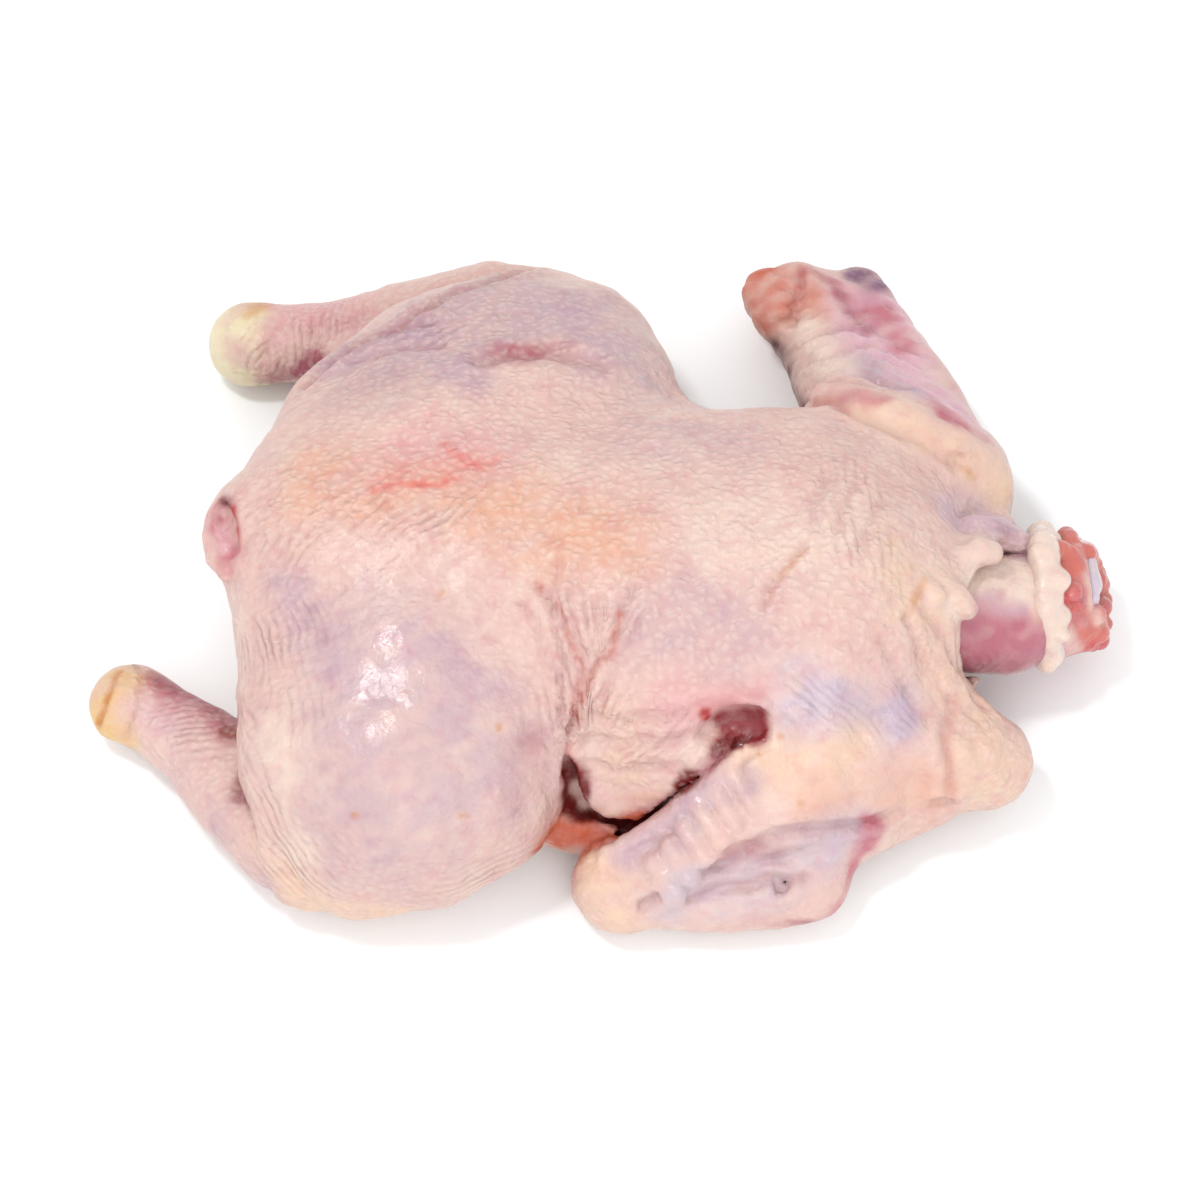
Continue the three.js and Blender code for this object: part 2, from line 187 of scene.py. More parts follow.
# Rolls of skin that stand out, as (fillet, chain of balls)
THIGH_EDGE = [
    [-101, -44, 50, 4.5],
    [-97, -66, 49, 4.5],
    [-96, -76, 40, 4.5],
    [-95, -84, 28, 4.5],
    [-91, -88, 14, 6],
]
ROLLS = [
    # the edge of the right thigh's skin, over the drumstick
    (2, THIGH_EDGE),
    # the pouch of skin that sags on the right flank
    (3, [[-5, -64, 38, 4.5], [3, -69, 31, 5], [10, -69, 32, 5], [18, -66, 38, 4.5], [26, -62, 46, 4]]),
    # the arch of skin over the opening behind the right wing
    (3, [[18, -50, 62, 2.4], [28, -49, 64, 2.8], [38, -50, 64, 2.8], [46, -53, 61, 2.6]]),
    # the edge of the right wing, above the crevice
    (2, [[47, -60, 52.5, 2.8], [42, -62.5, 51, 2.6], [36, -67, 46, 2.6], [27, -72, 40, 2.8]]),
    (2, [[27, -72, 40, 2.8], [19, -77, 34, 3], [10, -81, 30, 3], [1, -85, 26, 3]]),
    # the roll of skin on the left wing
    (2, [[69, 58, 52, 5], [80, 51, 59, 5.5], [93, 45, 58, 6], [106, 41, 52, 7], [116, 36, 44, 6]]),
    # the left wing's knob
    (2, [[54, 119, 20, 8.5], [58, 109, 22, 8.5]]),
    # the lip at the left of the cut tail
    (2, [[-114, 12, 60, 2.5], [-115, 6, 58, 3], [-114, -1, 56, 3], [-111, -7, 58, 2.5]]),
    # folds that run from the rim down to the wing's knob
    (3, [[90, -28, 64, 2.6], [95, -35, 56, 2.8], [102, -42, 44, 3.6]]),
    (3, [[93, -30, 59, 2.4], [100, -36, 50, 2.8], [108, -42, 38, 3.6]]),
    (3, [[96, -32, 53, 2.2], [105, -37, 42, 2.6], [114, -42, 31, 3]]),
]

# Lumps of fat on the torn rim, and the thin skin at its far side, as chains of balls
RIM_LUMPS = [
    [[108, -3, 61, 3.2], [112, -1, 60.5, 3.8], [116, 0, 58, 3.6]],
    [[99, -14, 65, 3.2], [104, -17, 62, 4], [108, -19, 58, 3.4]],
    [[91, -22, 65, 3.2], [95, -25, 61, 3.8], [96, -27, 56, 3]],
    [[93, -16, 69, 2.6], [98, -19, 66, 3]],
    [[112, 12, 51, 5], [121, 14, 45, 5], [130, 12, 42, 3.4]],
]

# Hollows, as (fillet, chain of balls)
HOLLOWS = [
    # the opening behind the right wing
    (3, [[31, -59, 55, 3], [37, -57, 57, 4.8], [43, -56, 58, 4.8]]),
    # the crevice between the flank and the right wing
    (1, [[45, -58, 55, 2.6], [40, -60, 51, 2]]),
    (1, [[28, -67, 41, 2.2], [23, -69, 37, 2.2]]),
    (1, [[15, -73, 29, 2], [3, -77, 18, 3]]),
    # the hollow under the pouch
    (2, [[-1, -68, 23, 3], [8, -70, 23, 3.4], [18, -67, 30, 3]]),
    # the pocket between the right thigh and the flank
    (2, [[-10, -63, 46, 2.4], [-8, -66, 36, 3.6], [-5, -68, 26, 3.4]]),
    # the hollow under the roll of the left wing
    (4, [[84, 68, 47, 5], [90, 62, 52, 5]]),
    # the skin's edge, pulled back below the neck
    (1.5, [[101, -17, 58, 3.5], [98, -23, 50, 4.5], [101, -28, 40, 5], [108, -28, 30, 4]]),
    # the small hole in the right wing's lower fold
    (1, [[53, -92, 23, 1.8], [55, -88, 19, 2]]),
]

# Short bars where the quills grew, as (first middle, last middle, number, half of a bar, radius)
QUILL_ROWS = [((41, -71.5, 45), (18, -92, 27.5), 6, (2.8, -3.6, -2.4), 2.6)]

# Creases that a stroke of colour runs along
FLANK_CREASE = [(-18, -23, 78), (-13, -28, 76), (-10, -33, 74), (-7, -40, 70), (-5, -44, 67), (-8, -57, 56)]
SHOULDER_CREASE = [(59, -13, 82), (54, -19, 81), (50, -23, 80), (48, -29, 77)]
HOCK_CREASE = [(-145, -22, 24), (-147, -28, 25), (-149, -33, 22), (-151, -35, 16)]
KNOB_CREASE = [(103, -43, 46), (101, -56, 44), (103, -65, 31)]
HIP_BEND = [(-62, 78, 62), (-52, 85, 63)]
HIP_CREASE = [(-89, 58, 60), (-84, 63, 61), (-76, 72, 60), *HIP_BEND, (-37, 96, 59), (-23, 107, 51)]

# Creases pressed into the skin, as (half width, depth, line)
CREASES = [
    # flank, from the back down to the pocket
    (1.4, 1.5, FLANK_CREASE),
    (1.4, 1.5, [(-8, -57, 56), (-11, -68, 45)]),
    (1.3, 1.4, [(10, -24, 79), (6, -31, 76), (3, -41, 71), (-2, -45, 67), (-8, -57, 56)]),
    (1.2, 0.9, [(-12, -16, 81), (-14, -27, 76), (-12, -39, 69), (-10, -52, 62), (-12, -63, 53)]),
    (1.2, 0.9, [(-23, -27, 76), (-16, -37, 71), (-13, -47, 65), (-12, -57, 59)]),
    (1.2, 0.8, [(0, -27, 78), (-1, -35, 74), (-3, -42, 69)]),
    (1.2, 0.8, [(14, -30, 77), (8, -38, 73), (2, -48, 66), (-4, -58, 56)]),
    # folds of the flank, above the sagging pouch
    (1.6, 1.0, [(-2, -55, 58), (6, -57, 59), (16, -56, 60), (24, -55, 61)]),
    (1.6, 1.1, [(-3, -60, 52), (6, -61, 53), (16, -61, 54), (26, -60, 56)]),
    (1.6, 1.1, [(-4, -64, 45), (5, -66, 45), (14, -66, 46), (24, -64, 48)]),
    # shoulders
    (1.3, 1.1, SHOULDER_CREASE),
    (1.6, 0.7, [(76, 12, 79), (71, 2, 82), (69, -7, 83)]),
    (1.6, 0.7, [(82, 6, 78), (78, -6, 81), (75, -16, 81)]),
    (1.6, 0.7, [(67, 15, 80), (63, 3, 82), (61, -7, 83)]),
    (1.6, 0.9, [(81, -37, 70), (87, -44, 60), (95, -52, 49)]),
    (1.6, 1.1, [(88, -29, 69), (93, -37, 60), (101, -44, 47)]),
    (1.6, 1.1, [(95, -24, 66), (103, -32, 50), (112, -41, 39)]),
    # left hip
    (2.0, 2.0, HIP_CREASE),
    (1.6, 1.0, [(-76, 71, 60), (-66, 75, 62), (-52, 77, 66)]),
    (1.6, 1.0, [(-75, 64, 64), (-61, 66, 67), (-48, 66, 70)]),
    (2.6, 2.0, [(-36, 58, 74), (-24, 61, 73), (-12, 62, 72), (0, 58, 71)]),
    # hocks
    (1.1, 1.0, [(-139, -19, 22), (-138, -32, 25), (-142, -40, 18)]),
    (0.9, 0.6, HOCK_CREASE),
    (1.4, 0.8, [(-105, 97, 25), (-108, 92, 9)]),
    # right wing
    (1.8, 2.2, [(37, -86, 33), (48, -83, 35), (57, -81, 37), (66, -79, 35), (78, -75, 30), (103, -67, 26)]),
    (1.6, 1.8, [(12, -98, 22), (23, -92, 27), (38, -87, 30), (47, -84, 33)]),
    (1.6, 1.6, [(26, -96, 24), (35, -94, 25), (50, -91, 25), (60, -90, 24)]),
    (2.2, 3.0, [(53, -92, 23)]),
    (2.0, 1.0, KNOB_CREASE),
    # crevice between the flank and the right wing
    (1.2, 1.6, [(41, -61, 52), (34, -65, 46), (25, -69, 39), (14, -73, 29)]),
    # left wing
    (1.8, 2.2, [(71, 48, 66), (77, 44, 66), (84, 41, 65), (92, 38, 64), (100, 35, 61), (108, 33, 56)]),
    (2.0, 1.8, [(71, 63, 53), (82, 55, 57), (94, 50, 56), (108, 52, 44)]),
    (1.6, 1.6, [(65, 126, 25), (64, 115, 28), (62, 107, 30), (61, 102, 29)]),
    (1.4, 1.0, [(63, 91, 30), (73, 95, 33), (83, 104, 27)]),
    (1.4, 1.0, [(64, 82, 33), (75, 84, 38), (85, 92, 32)]),
    (1.4, 1.0, [(66, 73, 37), (75, 70, 48), (84, 74, 44)]),
]

# Where the flesh is knobbly, as (height, width, reach, line)
KNOBBLY = [
    (1.1, 3.4, 12, [(54, 120, 24), (60, 108, 28)]),
    (0.8, 3.5, 14, [(84, 116, 24), (96, 76, 40), (104, 60, 44)]),
    (0.5, 3.2, 12, [(0, -92, 26), (6, -99, 18)]),
    (0.5, 3.4, 14, [(112, -52, 42), (118, -56, 32)]),
    (0.5, 3.4, 6, [(-10, -76, 28), (2, -80, 24)]),
    (0.4, 4, 12, [(70, -66, 50), (98, -62, 42)]),
    (0.4, 3.5, 10, [(66, 60, 55), (80, 44, 64)]),
]

# Rows of folds, as (spacing, height, reach, line they lie round, line they run along)
RIM_FOLDS = [(97, -27, 62), (104, -38, 46), (114, -44, 34)]
RIM_FOLDS_RUN = [(90, -18, 68), (98, -34, 56), (106, -48, 38)]
ROWS = [
    (5.2, 0.9, 9, [(63, 104, 28), (66, 86, 36), (70, 70, 46)], [(50, 150, 20)]),
    (4.6, 0.4, 9, [(84, 110, 26), (94, 80, 40)], [(110, 40, 50), (76, 124, 20)]),
    (5.5, 0.5, 9, [(62, -86, 32), (30, -93, 24)], [(80, -72, 34), (0, -100, 20)]),
    (4.4, 0.45, 7, RIM_FOLDS, RIM_FOLDS_RUN),
    (4.5, 0.35, 9, [(-10, -76, 28), (2, -80, 24)], [(-14, -60, 30), (-6, -92, 14)]),
]

# Fine wrinkles, as (spacing, strength, reach, line they lie round, line they run along)
WRINKLES = [
    (2.6, 1.0, 15, [(-95, -34, 62), (-92, -60, 56), (-84, -86, 34)], [(-112, -10, 66), (-70, -106, 40)]),
    (3.2, 0.8, 15, [(-96, 2, 70), (-66, 2, 79), (-44, -4, 82)], [(-112, -14, 66), (-60, 30, 80)]),
    (3.6, 0.6, 14, [(72, 14, 80), (76, -14, 82)], [(58, 34, 80), (62, -22, 82)]),
    (2.8, 0.9, 8, [(-8, -30, 75), (-10, -56, 58)], [(-20, -20, 76), (-8, -60, 54)]),
    (2.8, 0.8, 8, [(10, -34, 74), (2, -52, 60)], [(22, -26, 78), (-8, -60, 54)]),
    (3.2, 0.7, 12, [(-66, 74, 62), (-42, 68, 68)], [(-90, 60, 60), (-30, 90, 60)]),
    (2.8, 0.7, 12, [(-46, -92, 30), (-20, -84, 30)], [(-80, -96, 20), (-10, -90, 20)]),
    (2.4, 0.7, 9, [(58, -53, 62), (86, -54, 56)], [(40, -40, 66), (80, -70, 50)]),
    (2.6, 0.6, 9, [(24, -58, 58), (8, -62, 50)], [(30, -44, 66), (-10, -70, 40)]),
    (2.2, 0.7, 12, [(-122, -40, 24), (-104, -60, 26)], [(-140, -60, 20), (-90, -60, 30)]),
    (2.4, 0.6, 12, [(-104, 100, 26), (-84, 106, 28)], [(-110, 80, 20), (-100, 120, 20)]),
]

# Where the flesh is smooth and has no pale dots, as (reach, line)
SMOOTH = [
    (8, [(-148, -28, 20), (-140, -32, 14)]),
    (7, [(-10, -68, 40), (-4, -72, 24), (14, -72, 26)]),
    (8, [(-112, 9, 66), (-110, -2, 64)]),
    (8, [(-120, 104, 16), (-108, 106, 20)]),
    (14, [(48, -62, 54), (40, -76, 42), (20, -90, 28), (0, -86, 26)]),
    (14, [(60, -56, 60), (84, -58, 54)]),
    (14, [(56, -70, 46), (96, -68, 38)]),
    (14, [(70, -84, 30), (30, -94, 22)]),
    (12, [(-8, -74, 30), (8, -76, 24)]),
    (9, [(28, -57, 57), (42, -56, 59)]),
    (34, [(-62, -56, 68), (-52, -70, 60)]),
    (22, [(88, 110, 24), (98, 60, 44)]),
    (16, [(58, 116, 24), (66, 84, 36)]),
    (10, [(72, 50, 62), (92, 42, 62), (114, 34, 50)]),
    (8, [(96, -22, 66), (106, -34, 48), (112, -2, 58)]),
]

# Where the flesh is wet, as (strength, reach, line)
WET = [
    (0.8, 18, [(-64, -42, 73), (-60, -60, 64)]),
    (1.0, 11, [(60, -54, 62), (84, -56, 55)]),
    (0.9, 12, [(44, -64, 50), (20, -86, 30)]),
    (0.9, 12, [(94, 76, 42), (86, 104, 28)]),
    (0.7, 9, [(98, -22, 62), (108, -34, 46)]),
]

# Swells, as (height, width, number added to a seed), and how far lines wander, as (reach, width, seed)
WAVES = 7
WAVE_LENGTHS = (1.2, 2.4)  # how long a swell's waves are, in its own widths
SKIN_SWELLS = [(0.4, 9, 61), (0.14, 3.5, 62)]
KNOB_SEED = 63
CREASE_WANDER = (0.8, 7, 51)
STROKE_WANDER = (2.5, 12)  # each kind of flesh has its own seed
SKIN_SEED = 11
MEAT_SEED = 21
PALE_SEED = 31
CREAM_SWELLS = [(0.35, 13, 3), (0.2, 5, 4)]
STROKE_SWELLS = [(0.3, 9, 7), (0.25, 4, 8)]
SKIN_WET = (0.8, [(0.4, 5, 81)])  # the middle, and the swells round it
MEAT_WET = (0.6, [(0.5, 6, 71)])

LIP_HEIGHT = 0.45  # of a crease's depth
LIP_PLACE = 2.2  # half widths from a crease's bed to its lips
FINE_STROKE = 3  # a stroke that reaches no further than this keeps to its line
# Painted shade in the creases' beds: a share of rose for each millimetre of a crease's depth, and the most it
# reaches
BED_SHADE = 0.25  # for each millimetre of a crease's depth
MOST_BED_SHADE = 0.4
SPECK_STRENGTH = 0.8


# Fields: below zero inside, above zero outside, about true distance


def ellipsoid(lobe, points):
    """The distance to a lobe, less true the farther away it is."""
    centre, half = np.array(lobe, np.float32)
    near = (points - centre) / half
    length = np.linalg.norm(near, axis=1) + NEAR_ZERO
    return length * (length - 1) / (np.linalg.norm(near / half, axis=1) + TINY)


def blend(width, *values):
    """The smallest value, with a soft fillet where two meet."""

    def pair(a, b):
        overlap = np.maximum(width - np.abs(a - b), 0) / width
        return np.minimum(a, b) - overlap * overlap * width / 4

    return functools.reduce(pair, values)


def limb(chain, points):
    """The distance to a chain of balls, each joined to the next by a cone."""
    best = np.full(len(points), np.inf, np.float32)
    for here, there in zip(chain, chain[1:] or chain):
        start = np.array(here, np.float32)
        run = np.array(there, np.float32) - start
        from_start = points - start[:3]
        squared = max(float(run[:3] @ run[:3]), SHORTEST)
        share = np.clip(from_start @ run[:3] / squared, 0, 1)
        away = np.linalg.norm(from_start - share[:, None] * run[:3], axis=1)
        best = np.minimum(best, away - start[3] - share * run[3])
    return best


def arc_of_balls(centre, lean, radius, start, end, count, size):
    """A chain of balls round an arc that faces along X and leans back, uneven like torn flesh."""
    tilt = math.radians(lean)
    balls = []
    for i in range(count):
        angle = math.radians(start + (end - start) * i / (count - 1))
        up = radius * math.sin(angle)
        x = centre[0] - up * math.sin(tilt)
        y = centre[1] + radius * math.cos(angle)
        z = centre[2] + up * math.cos(tilt)
        swell = 1 + UNEVEN_BALLS * math.cos(i * BALL_TURN)
        balls.append([x, y, z, size * swell])
    return balls


def trunk(points):
    lobes = [BREAST_RIGHT, BREAST_LEFT, RIBCAGE, PELVIS, ABDOMEN, SHOULDERS]
    body = blend(TRUNK_BLEND, *[ellipsoid(lobe, points) for lobe in lobes])
    limbs = [limb(chain, points) for chain in (RUMP, NECK_BASE, LEFT_SHOULDER)]
    return blend(WING_BLEND, blend(TRUNK_BLEND, body, *limbs), limb(TAIL, points))


def legs(points):
    right = [ellipsoid(RIGHT_THIGH, points), limb(RIGHT_HAM, points), limb(RIGHT_THIGH_SKIN, points)]
    left = [ellipsoid(LEFT_THIGH, points), limb(LEFT_HAM, points), limb(LEFT_KNEE_SKIN, points)]
    return np.minimum(
        blend(SHANK_BLEND, blend(LEG_BLEND, *right), limb(RIGHT_DRUMSTICK, points)),
        blend(SHANK_BLEND, blend(LEG_BLEND, *left), limb(LEFT_DRUMSTICK, points)),
    )


def wings(points):
    right = [RIGHT_UPPER_WING, RIGHT_SHOULDER_KNOB, RIGHT_WRIST_SKIN, RIGHT_FOREARM]
    left = [LEFT_UPPER_WING, LEFT_FOREARM, LEFT_WING_WEB, LEFT_SKIN_ROLL]
    return np.minimum(
        blend(WING_BLEND, *[limb(chain, points) for chain in right]),
        blend(WING_BLEND, *[limb(chain, points) for chain in left]),
    )


def valleys(points):
    """How deep the valleys press the skin in at each point."""
    depth_here = np.zeros(len(points), np.float32)
    for line, width, depth in VALLEYS:
        away = np.maximum(limb(line, points), 0) / width
        depth_here += depth * np.exp(-away * away)
    return depth_here


def with_quills(body, points):
    """The body with rows of short bars, sunk so that only their tops stand out."""
    for first, last, number, half, radius in QUILL_ROWS:
        for place in np.linspace(first, last, number):
            bar = [[*(place - half), radius], [*(place + half), radius]]
            body = blend(QUILL_BLEND, body, limb(bar, points))
    return body


def carcass(points):
    limbed = blend(WING_BLEND, blend(LEG_BLEND, trunk(points), legs(points)), wings(points))
    skinned = blend(RIM_BLEND, limbed + valleys(points), limb(NECK_RIM, points))
    body = blend(SHANK_BLEND, skinned, limb(SIDE_FLAP, points))
    for fillet, chain in ROLLS:
        body = blend(fillet, body, limb(chain, points))
    body = with_quills(body, points)
    for fillet, chain in HOLLOWS:
        body = -blend(fillet, -body, limb(chain, points))
    body = -blend(PIT_BLEND, -body, limb(TAIL_PIT, points), limb(NECK_MOUTH, points))
    body = blend(LUMP_BLEND, body, *[limb(chain, points) for chain in RIM_LUMPS])
    return -blend(FOOT_BLEND, -body, points[:, 2] + FOOT_SINK)


def neck(points):
    """The neck, cut off by a leaning plane, with lumps of meat round the cut."""
    lean = math.radians(NECK_CUT["lean"])
    centre = NECK_CUT["centre"]
    past = (points[:, 0] - centre[0]) * math.cos(lean) + (points[:, 2] - centre[2]) * math.sin(lean)
    cut = -blend(NECK_CUT["round"], -limb(NECK, points), -past)
    return blend(NECK_CUT["round"], cut, limb(arc_of_balls(**CUT_RING), points))


def neck_fat(points):
    return limb(arc_of_balls(**FAT_BAND), points)


def scattered(balls, reach, seed):
    """The balls, each moved a little and made larger or smaller, the same on every run."""
    random = np.random.default_rng(seed)
    places = np.array(balls)
    places[:, :3] += random.uniform(-reach, reach, (len(places), 3))
    places[:, 3] *= random.uniform(*LUMP_SIZES, len(places))
    return places.tolist()


def with_lumps(body, rings, reach, seed, fillet, points):
    """The body with rings of small scattered balls laid on it."""
    for number, ring in enumerate(rings):
        for ball in scattered(arc_of_balls(**ring), reach, seed + number):
            body = blend(fillet, body, limb([ball], points))
    return body


def torn_neck(points):
    return with_lumps(neck(points), TORN_RINGS, TORN_REACH, TORN_SEED, TEAR_BLEND, points)


def lumpy_fat(points):
    return with_lumps(neck_fat(points), FAT_LUMPS, FAT_REACH, FAT_SEED, LUMP_BLEND, points)


def neck_bone(points):
    return blend(NECK_CUT["round"], limb(BONE, points), limb(BONE_KNUCKLES, points))


def windpipe(points):
    return np.maximum(limb(WINDPIPE, points), -limb(WINDPIPE_BORE, points))


# Meshing


def grid_points(indices, low, step):
    """The places of grid points, of which the first is half a step outside the low corner."""
    return (low + (indices - 0.5) * step).astype(np.float32)


def sampled(field, low, high, step):
    """The field's values on an even grid, worked out only near the surface."""
    blocks = np.ceil((high - low) / (step * BLOCK)).astype(int) + 1
    corners = np.argwhere(np.ones(blocks, bool))
    middles = grid_points(corners * BLOCK + (BLOCK - 1) / 2, low, step)
    coarse = field(middles).reshape(blocks)
    reach = BLOCK_REACH * BLOCK * step * math.sqrt(3) / 2
    values = coarse.astype(np.float32)
    near = np.abs(coarse) < reach
    for axis in range(3):
        values = np.repeat(values, BLOCK, axis)
        near = np.repeat(near, BLOCK, axis)
    cells = np.argwhere(near)
    values[near] = field(grid_points(cells, low, step))
    return values


def shifted(array, offset, size):
    """The part of an array that starts at an offset and has the size."""
    return array[tuple(slice(o, o + n) for o, n in zip(offset, size))]


def crossings_along(axis, values):
    """Which of the grid's edges along an axis cross the surface, which start inside, and how far along."""
    ends = [slice(None)] * 3
    ends[axis] = slice(0, -1)
    near = values[tuple(ends)]
    ends[axis] = slice(1, None)
    far = values[tuple(ends)]
    inside = near < 0
    crossed = inside != (far < 0)
    share = np.where(crossed, near / np.where(crossed, near - far, 1), 0)
    return crossed, inside, share


def crossing_sums(edges, cells):
    """How many of a cell's edges the surface crosses, and the sum of the places where it does."""
    count = np.zeros(cells, np.int32)
    total = np.zeros((*cells, 3), np.float32)
    for axis, (crossed, _inside, share) in enumerate(edges):
        others = [other for other in range(3) if other != axis]
        for corner in ((0, 0), (0, 1), (1, 0), (1, 1)):
            offset = [0, 0, 0]
            offset[others[0]], offset[others[1]] = corner
            here = shifted(crossed, offset, cells)
            count += here
            total[..., axis] += shifted(share, offset, cells)
            for other in others:
                total[..., other] += here * offset[other]
    return count, total


def surface_of(field, box, step):
    """A closed quad mesh of a field's zero surface: one vertex in each grid cell that it crosses."""
    low, high = np.array(box, float)
    values = sampled(field, low, high, step)
    cells = np.array(values.shape) - 1
    edges = [crossings_along(axis, values) for axis in range(3)]
    count, total = crossing_sums(edges, cells)
    filled = count > 0
    index = np.full(cells, -1)
    index[filled] = np.arange(filled.sum())
    middles = total[filled] / count[filled][:, None]
    points = grid_points(np.argwhere(filled) + middles, low, step)
    quads = np.concatenate([quads_across(axis, *edges[axis][:2], index) for axis in range(3)])
    points, quads = largest_shell(points, quads)
    for _ in range(RELAX_PASSES):
        points = onto_surface(field, evened(points, quads))
    return above_table(points), quads


def above_table(points):
    points[:, 2] = np.maximum(points[:, 2], 0)
    return points


def quads_across(axis, crossed, inside, index):
    """One quad round each grid edge along the axis that the surface crosses, facing out."""
    places = np.argwhere(crossed)
    u, v = (axis + 1) % 3, (axis + 2) % 3
    places = places[(places[:, u] > 0) & (places[:, v] > 0)]
    corners = []
    for p, q in ((0, 0), (1, 0), (1, 1), (0, 1)):
        cell = places.copy()
        cell[:, u] -= p
        cell[:, v] -= q
        cell = np.minimum(cell, np.array(index.shape) - 1)
        corners.append(index[tuple(cell.T)])
    quads = np.stack(corners, 1)
    outward = inside[tuple(places.T)]
    return np.where(outward[:, None], quads, quads[:, ::-1])


def largest_shell(points, quads):
    """The shell with the most quads, without any loose scrap beside it."""
    label = np.arange(len(points))
    while (label[quads] != label[quads[:, :1]]).any():
        np.minimum.at(label, quads, label[quads].min(1)[:, None])
        label = label[label]
    shell = label[quads[:, 0]]
    kept = quads[shell == np.bincount(shell).argmax()]
    used = np.unique(kept)
    index = np.zeros(len(points), int)
    index[used] = np.arange(len(used))
    return points[used], index[kept]


def evened(points, quads):
    """Each vertex moved to the middle of its neighbours."""
    ends = np.concatenate([quads, np.roll(quads, 1, 1)]).ravel()
    starts = np.concatenate([np.roll(quads, 1, 1), quads]).ravel()
    number = np.bincount(starts, minlength=len(points))
    sums = [np.bincount(starts, points[ends, axis], len(points)) for axis in range(3)]
    return (np.stack(sums, 1) / number[:, None]).astype(np.float32)


def onto_surface(field, points):
    """Each vertex moved along the field's slope to where the field is zero."""
    value = field(points)
    steps = np.eye(3, dtype=np.float32) * SLOPE_STEP
    slope = np.stack([(field(points + step) - value) / SLOPE_STEP for step in steps], 1)
    steep = np.maximum((slope * slope).sum(1), LEAST_STEEP)
    return points - slope * (value / steep)[:, None]


def normals_of(points, quads):
    """Each vertex's normal: the mean of the quads round it, weighed by their size."""
    a, b, c, d = (points[quads[:, i]] for i in range(4))
    face = np.cross(c - a, d - b)
    corner = quads.ravel()
    spread = np.repeat(face, 4, 0)
    total = np.stack([np.bincount(corner, spread[:, axis], len(points)) for axis in range(3)], 1)
    return total / (np.linalg.norm(total, axis=1)[:, None] + TINY)


# Uneven flesh


def ripple(points, size, seed):
    """Smooth swells about as wide as size, between -1 and 1, the same on every run."""
    random = np.random.default_rng(seed)
    total = np.zeros(len(points), np.float32)
    for _ in range(WAVES):
        way = random.normal(size=3)
        turns = 2 * math.pi / (size * random.uniform(*WAVE_LENGTHS) * np.linalg.norm(way))
        total += np.sin(points @ (way * turns).astype(np.float32) + random.uniform(0, 2 * math.pi))
    return np.clip(total / math.sqrt(WAVES), -1, 1)


def ripples(points, swells, seed=0):
    """Swells laid over each other, each with its own number added to the seed."""
    return sum(height * ripple(points, size, seed + number) for height, size, number in swells)


def wandered(points, reach, size, seed):
    """The points moved about a little, so that lines drawn on them wander."""
    return points + reach * np.stack([ripple(points, size, seed + axis) for axis in range(3)], 1)


def distance_to(line, points):
    """The distance to a line through the given places."""
    return limb([[*point, 0] for point in line], points)


def share_near(line, reach, points):
    """1 on a line, and less and less away from it."""
    away = np.maximum(distance_to(line, points), 0) / reach
    return np.exp(-away * away)


def creased(points, normals):
    """The points with every crease pressed in, its lips standing up a little on both sides."""
    moved = wandered(points, *CREASE_WANDER)
    push = ripples(points, SKIN_SWELLS)
    for height, size, reach, line in KNOBBLY:
        push += height * ripple(points, size, KNOB_SEED) * share_near(line, reach, points)
    for spacing, height, reach, line, source in ROWS:
        turns = 2 * math.pi * distance_to(source, moved) / spacing
        push += height * np.cos(turns) * share_near(line, reach, points)
    for width, depth, line in CREASES:
        away = np.maximum(distance_to(line, moved), 0) / width
        push += depth * (LIP_HEIGHT * np.exp(-((away - LIP_PLACE) ** 2)) - np.exp(-away * away))
    return above_table(points + normals * push[:, None])


# Colours of the photo, as sRGB between 0 and 1
CREAM = (0.99, 0.89, 0.83)
SKIN_BASE = (0.95, 0.80, 0.76)
PEACH = (0.96, 0.75, 0.65)
PINK = (0.95, 0.74, 0.74)
ROSE = (0.73, 0.43, 0.48)
LILAC = (0.86, 0.74, 0.75)
MAUVE = (0.75, 0.61, 0.65)
LAVENDER = (0.84, 0.71, 0.75)
VIOLET = (0.83, 0.745, 0.80)
PURPLE = (0.56, 0.39, 0.50)
YELLOW = (0.99, 0.85, 0.75)
HORN = (0.98, 0.82, 0.56)
OCHRE = (0.86, 0.56, 0.26)
RED_PINK = (0.84, 0.50, 0.55)
SCRATCH = (0.95, 0.55, 0.50)
BLOOD = (0.74, 0.20, 0.20)
MAROON = (0.42, 0.12, 0.15)
ORANGE = (0.86, 0.44, 0.32)
MEAT = (0.80, 0.47, 0.54)
CLOT = (0.18, 0.05, 0.06)
WING_PINK = (0.96, 0.77, 0.82)
WING_GREY = (0.87, 0.79, 0.82)
DEEP_RED = (0.62, 0.22, 0.24)
# painted shade deep in hollows
DARK_RED_SHADE = (0.48, 0.08, 0.07)
SHANK_PINK = (0.95, 0.79, 0.80)
# painted shade under the overhanging edge of the thigh's skin
UNDER_THIGH_SHADE = (0.62, 0.32, 0.27)
IVORY = (1.0, 0.95, 0.80)
# painted shade under the sagging pouch
POUCH_SHADE = (0.84, 0.63, 0.55)
RASPBERRY = (0.82, 0.45, 0.52)
BRICK = (0.80, 0.36, 0.30)
THIN_SKIN = (0.91, 0.79, 0.82)
PLUM = (0.62, 0.45, 0.56)
SHELL_PINK = (0.95, 0.76, 0.76)
SALMON = (0.91, 0.66, 0.66)
MUSLIN = (1.0, 0.90, 0.83)
DUSKY_PINK = (0.87, 0.71, 0.74)
MEAT_ROSE = (0.79, 0.45, 0.52)
CORAL = (0.90, 0.48, 0.42)
SCARLET = (0.86, 0.22, 0.26)
BONE_WHITE = (0.9, 0.84, 0.9)
GRISTLE = (0.93, 0.68, 0.68)

LILAC_TINT = (0.85, 0.81, 0.93)
PINK_TINT = (1.0, 0.82, 0.86)
ALBEDO = 0.715  # the flesh is darker than it looks in the bright light of the photo


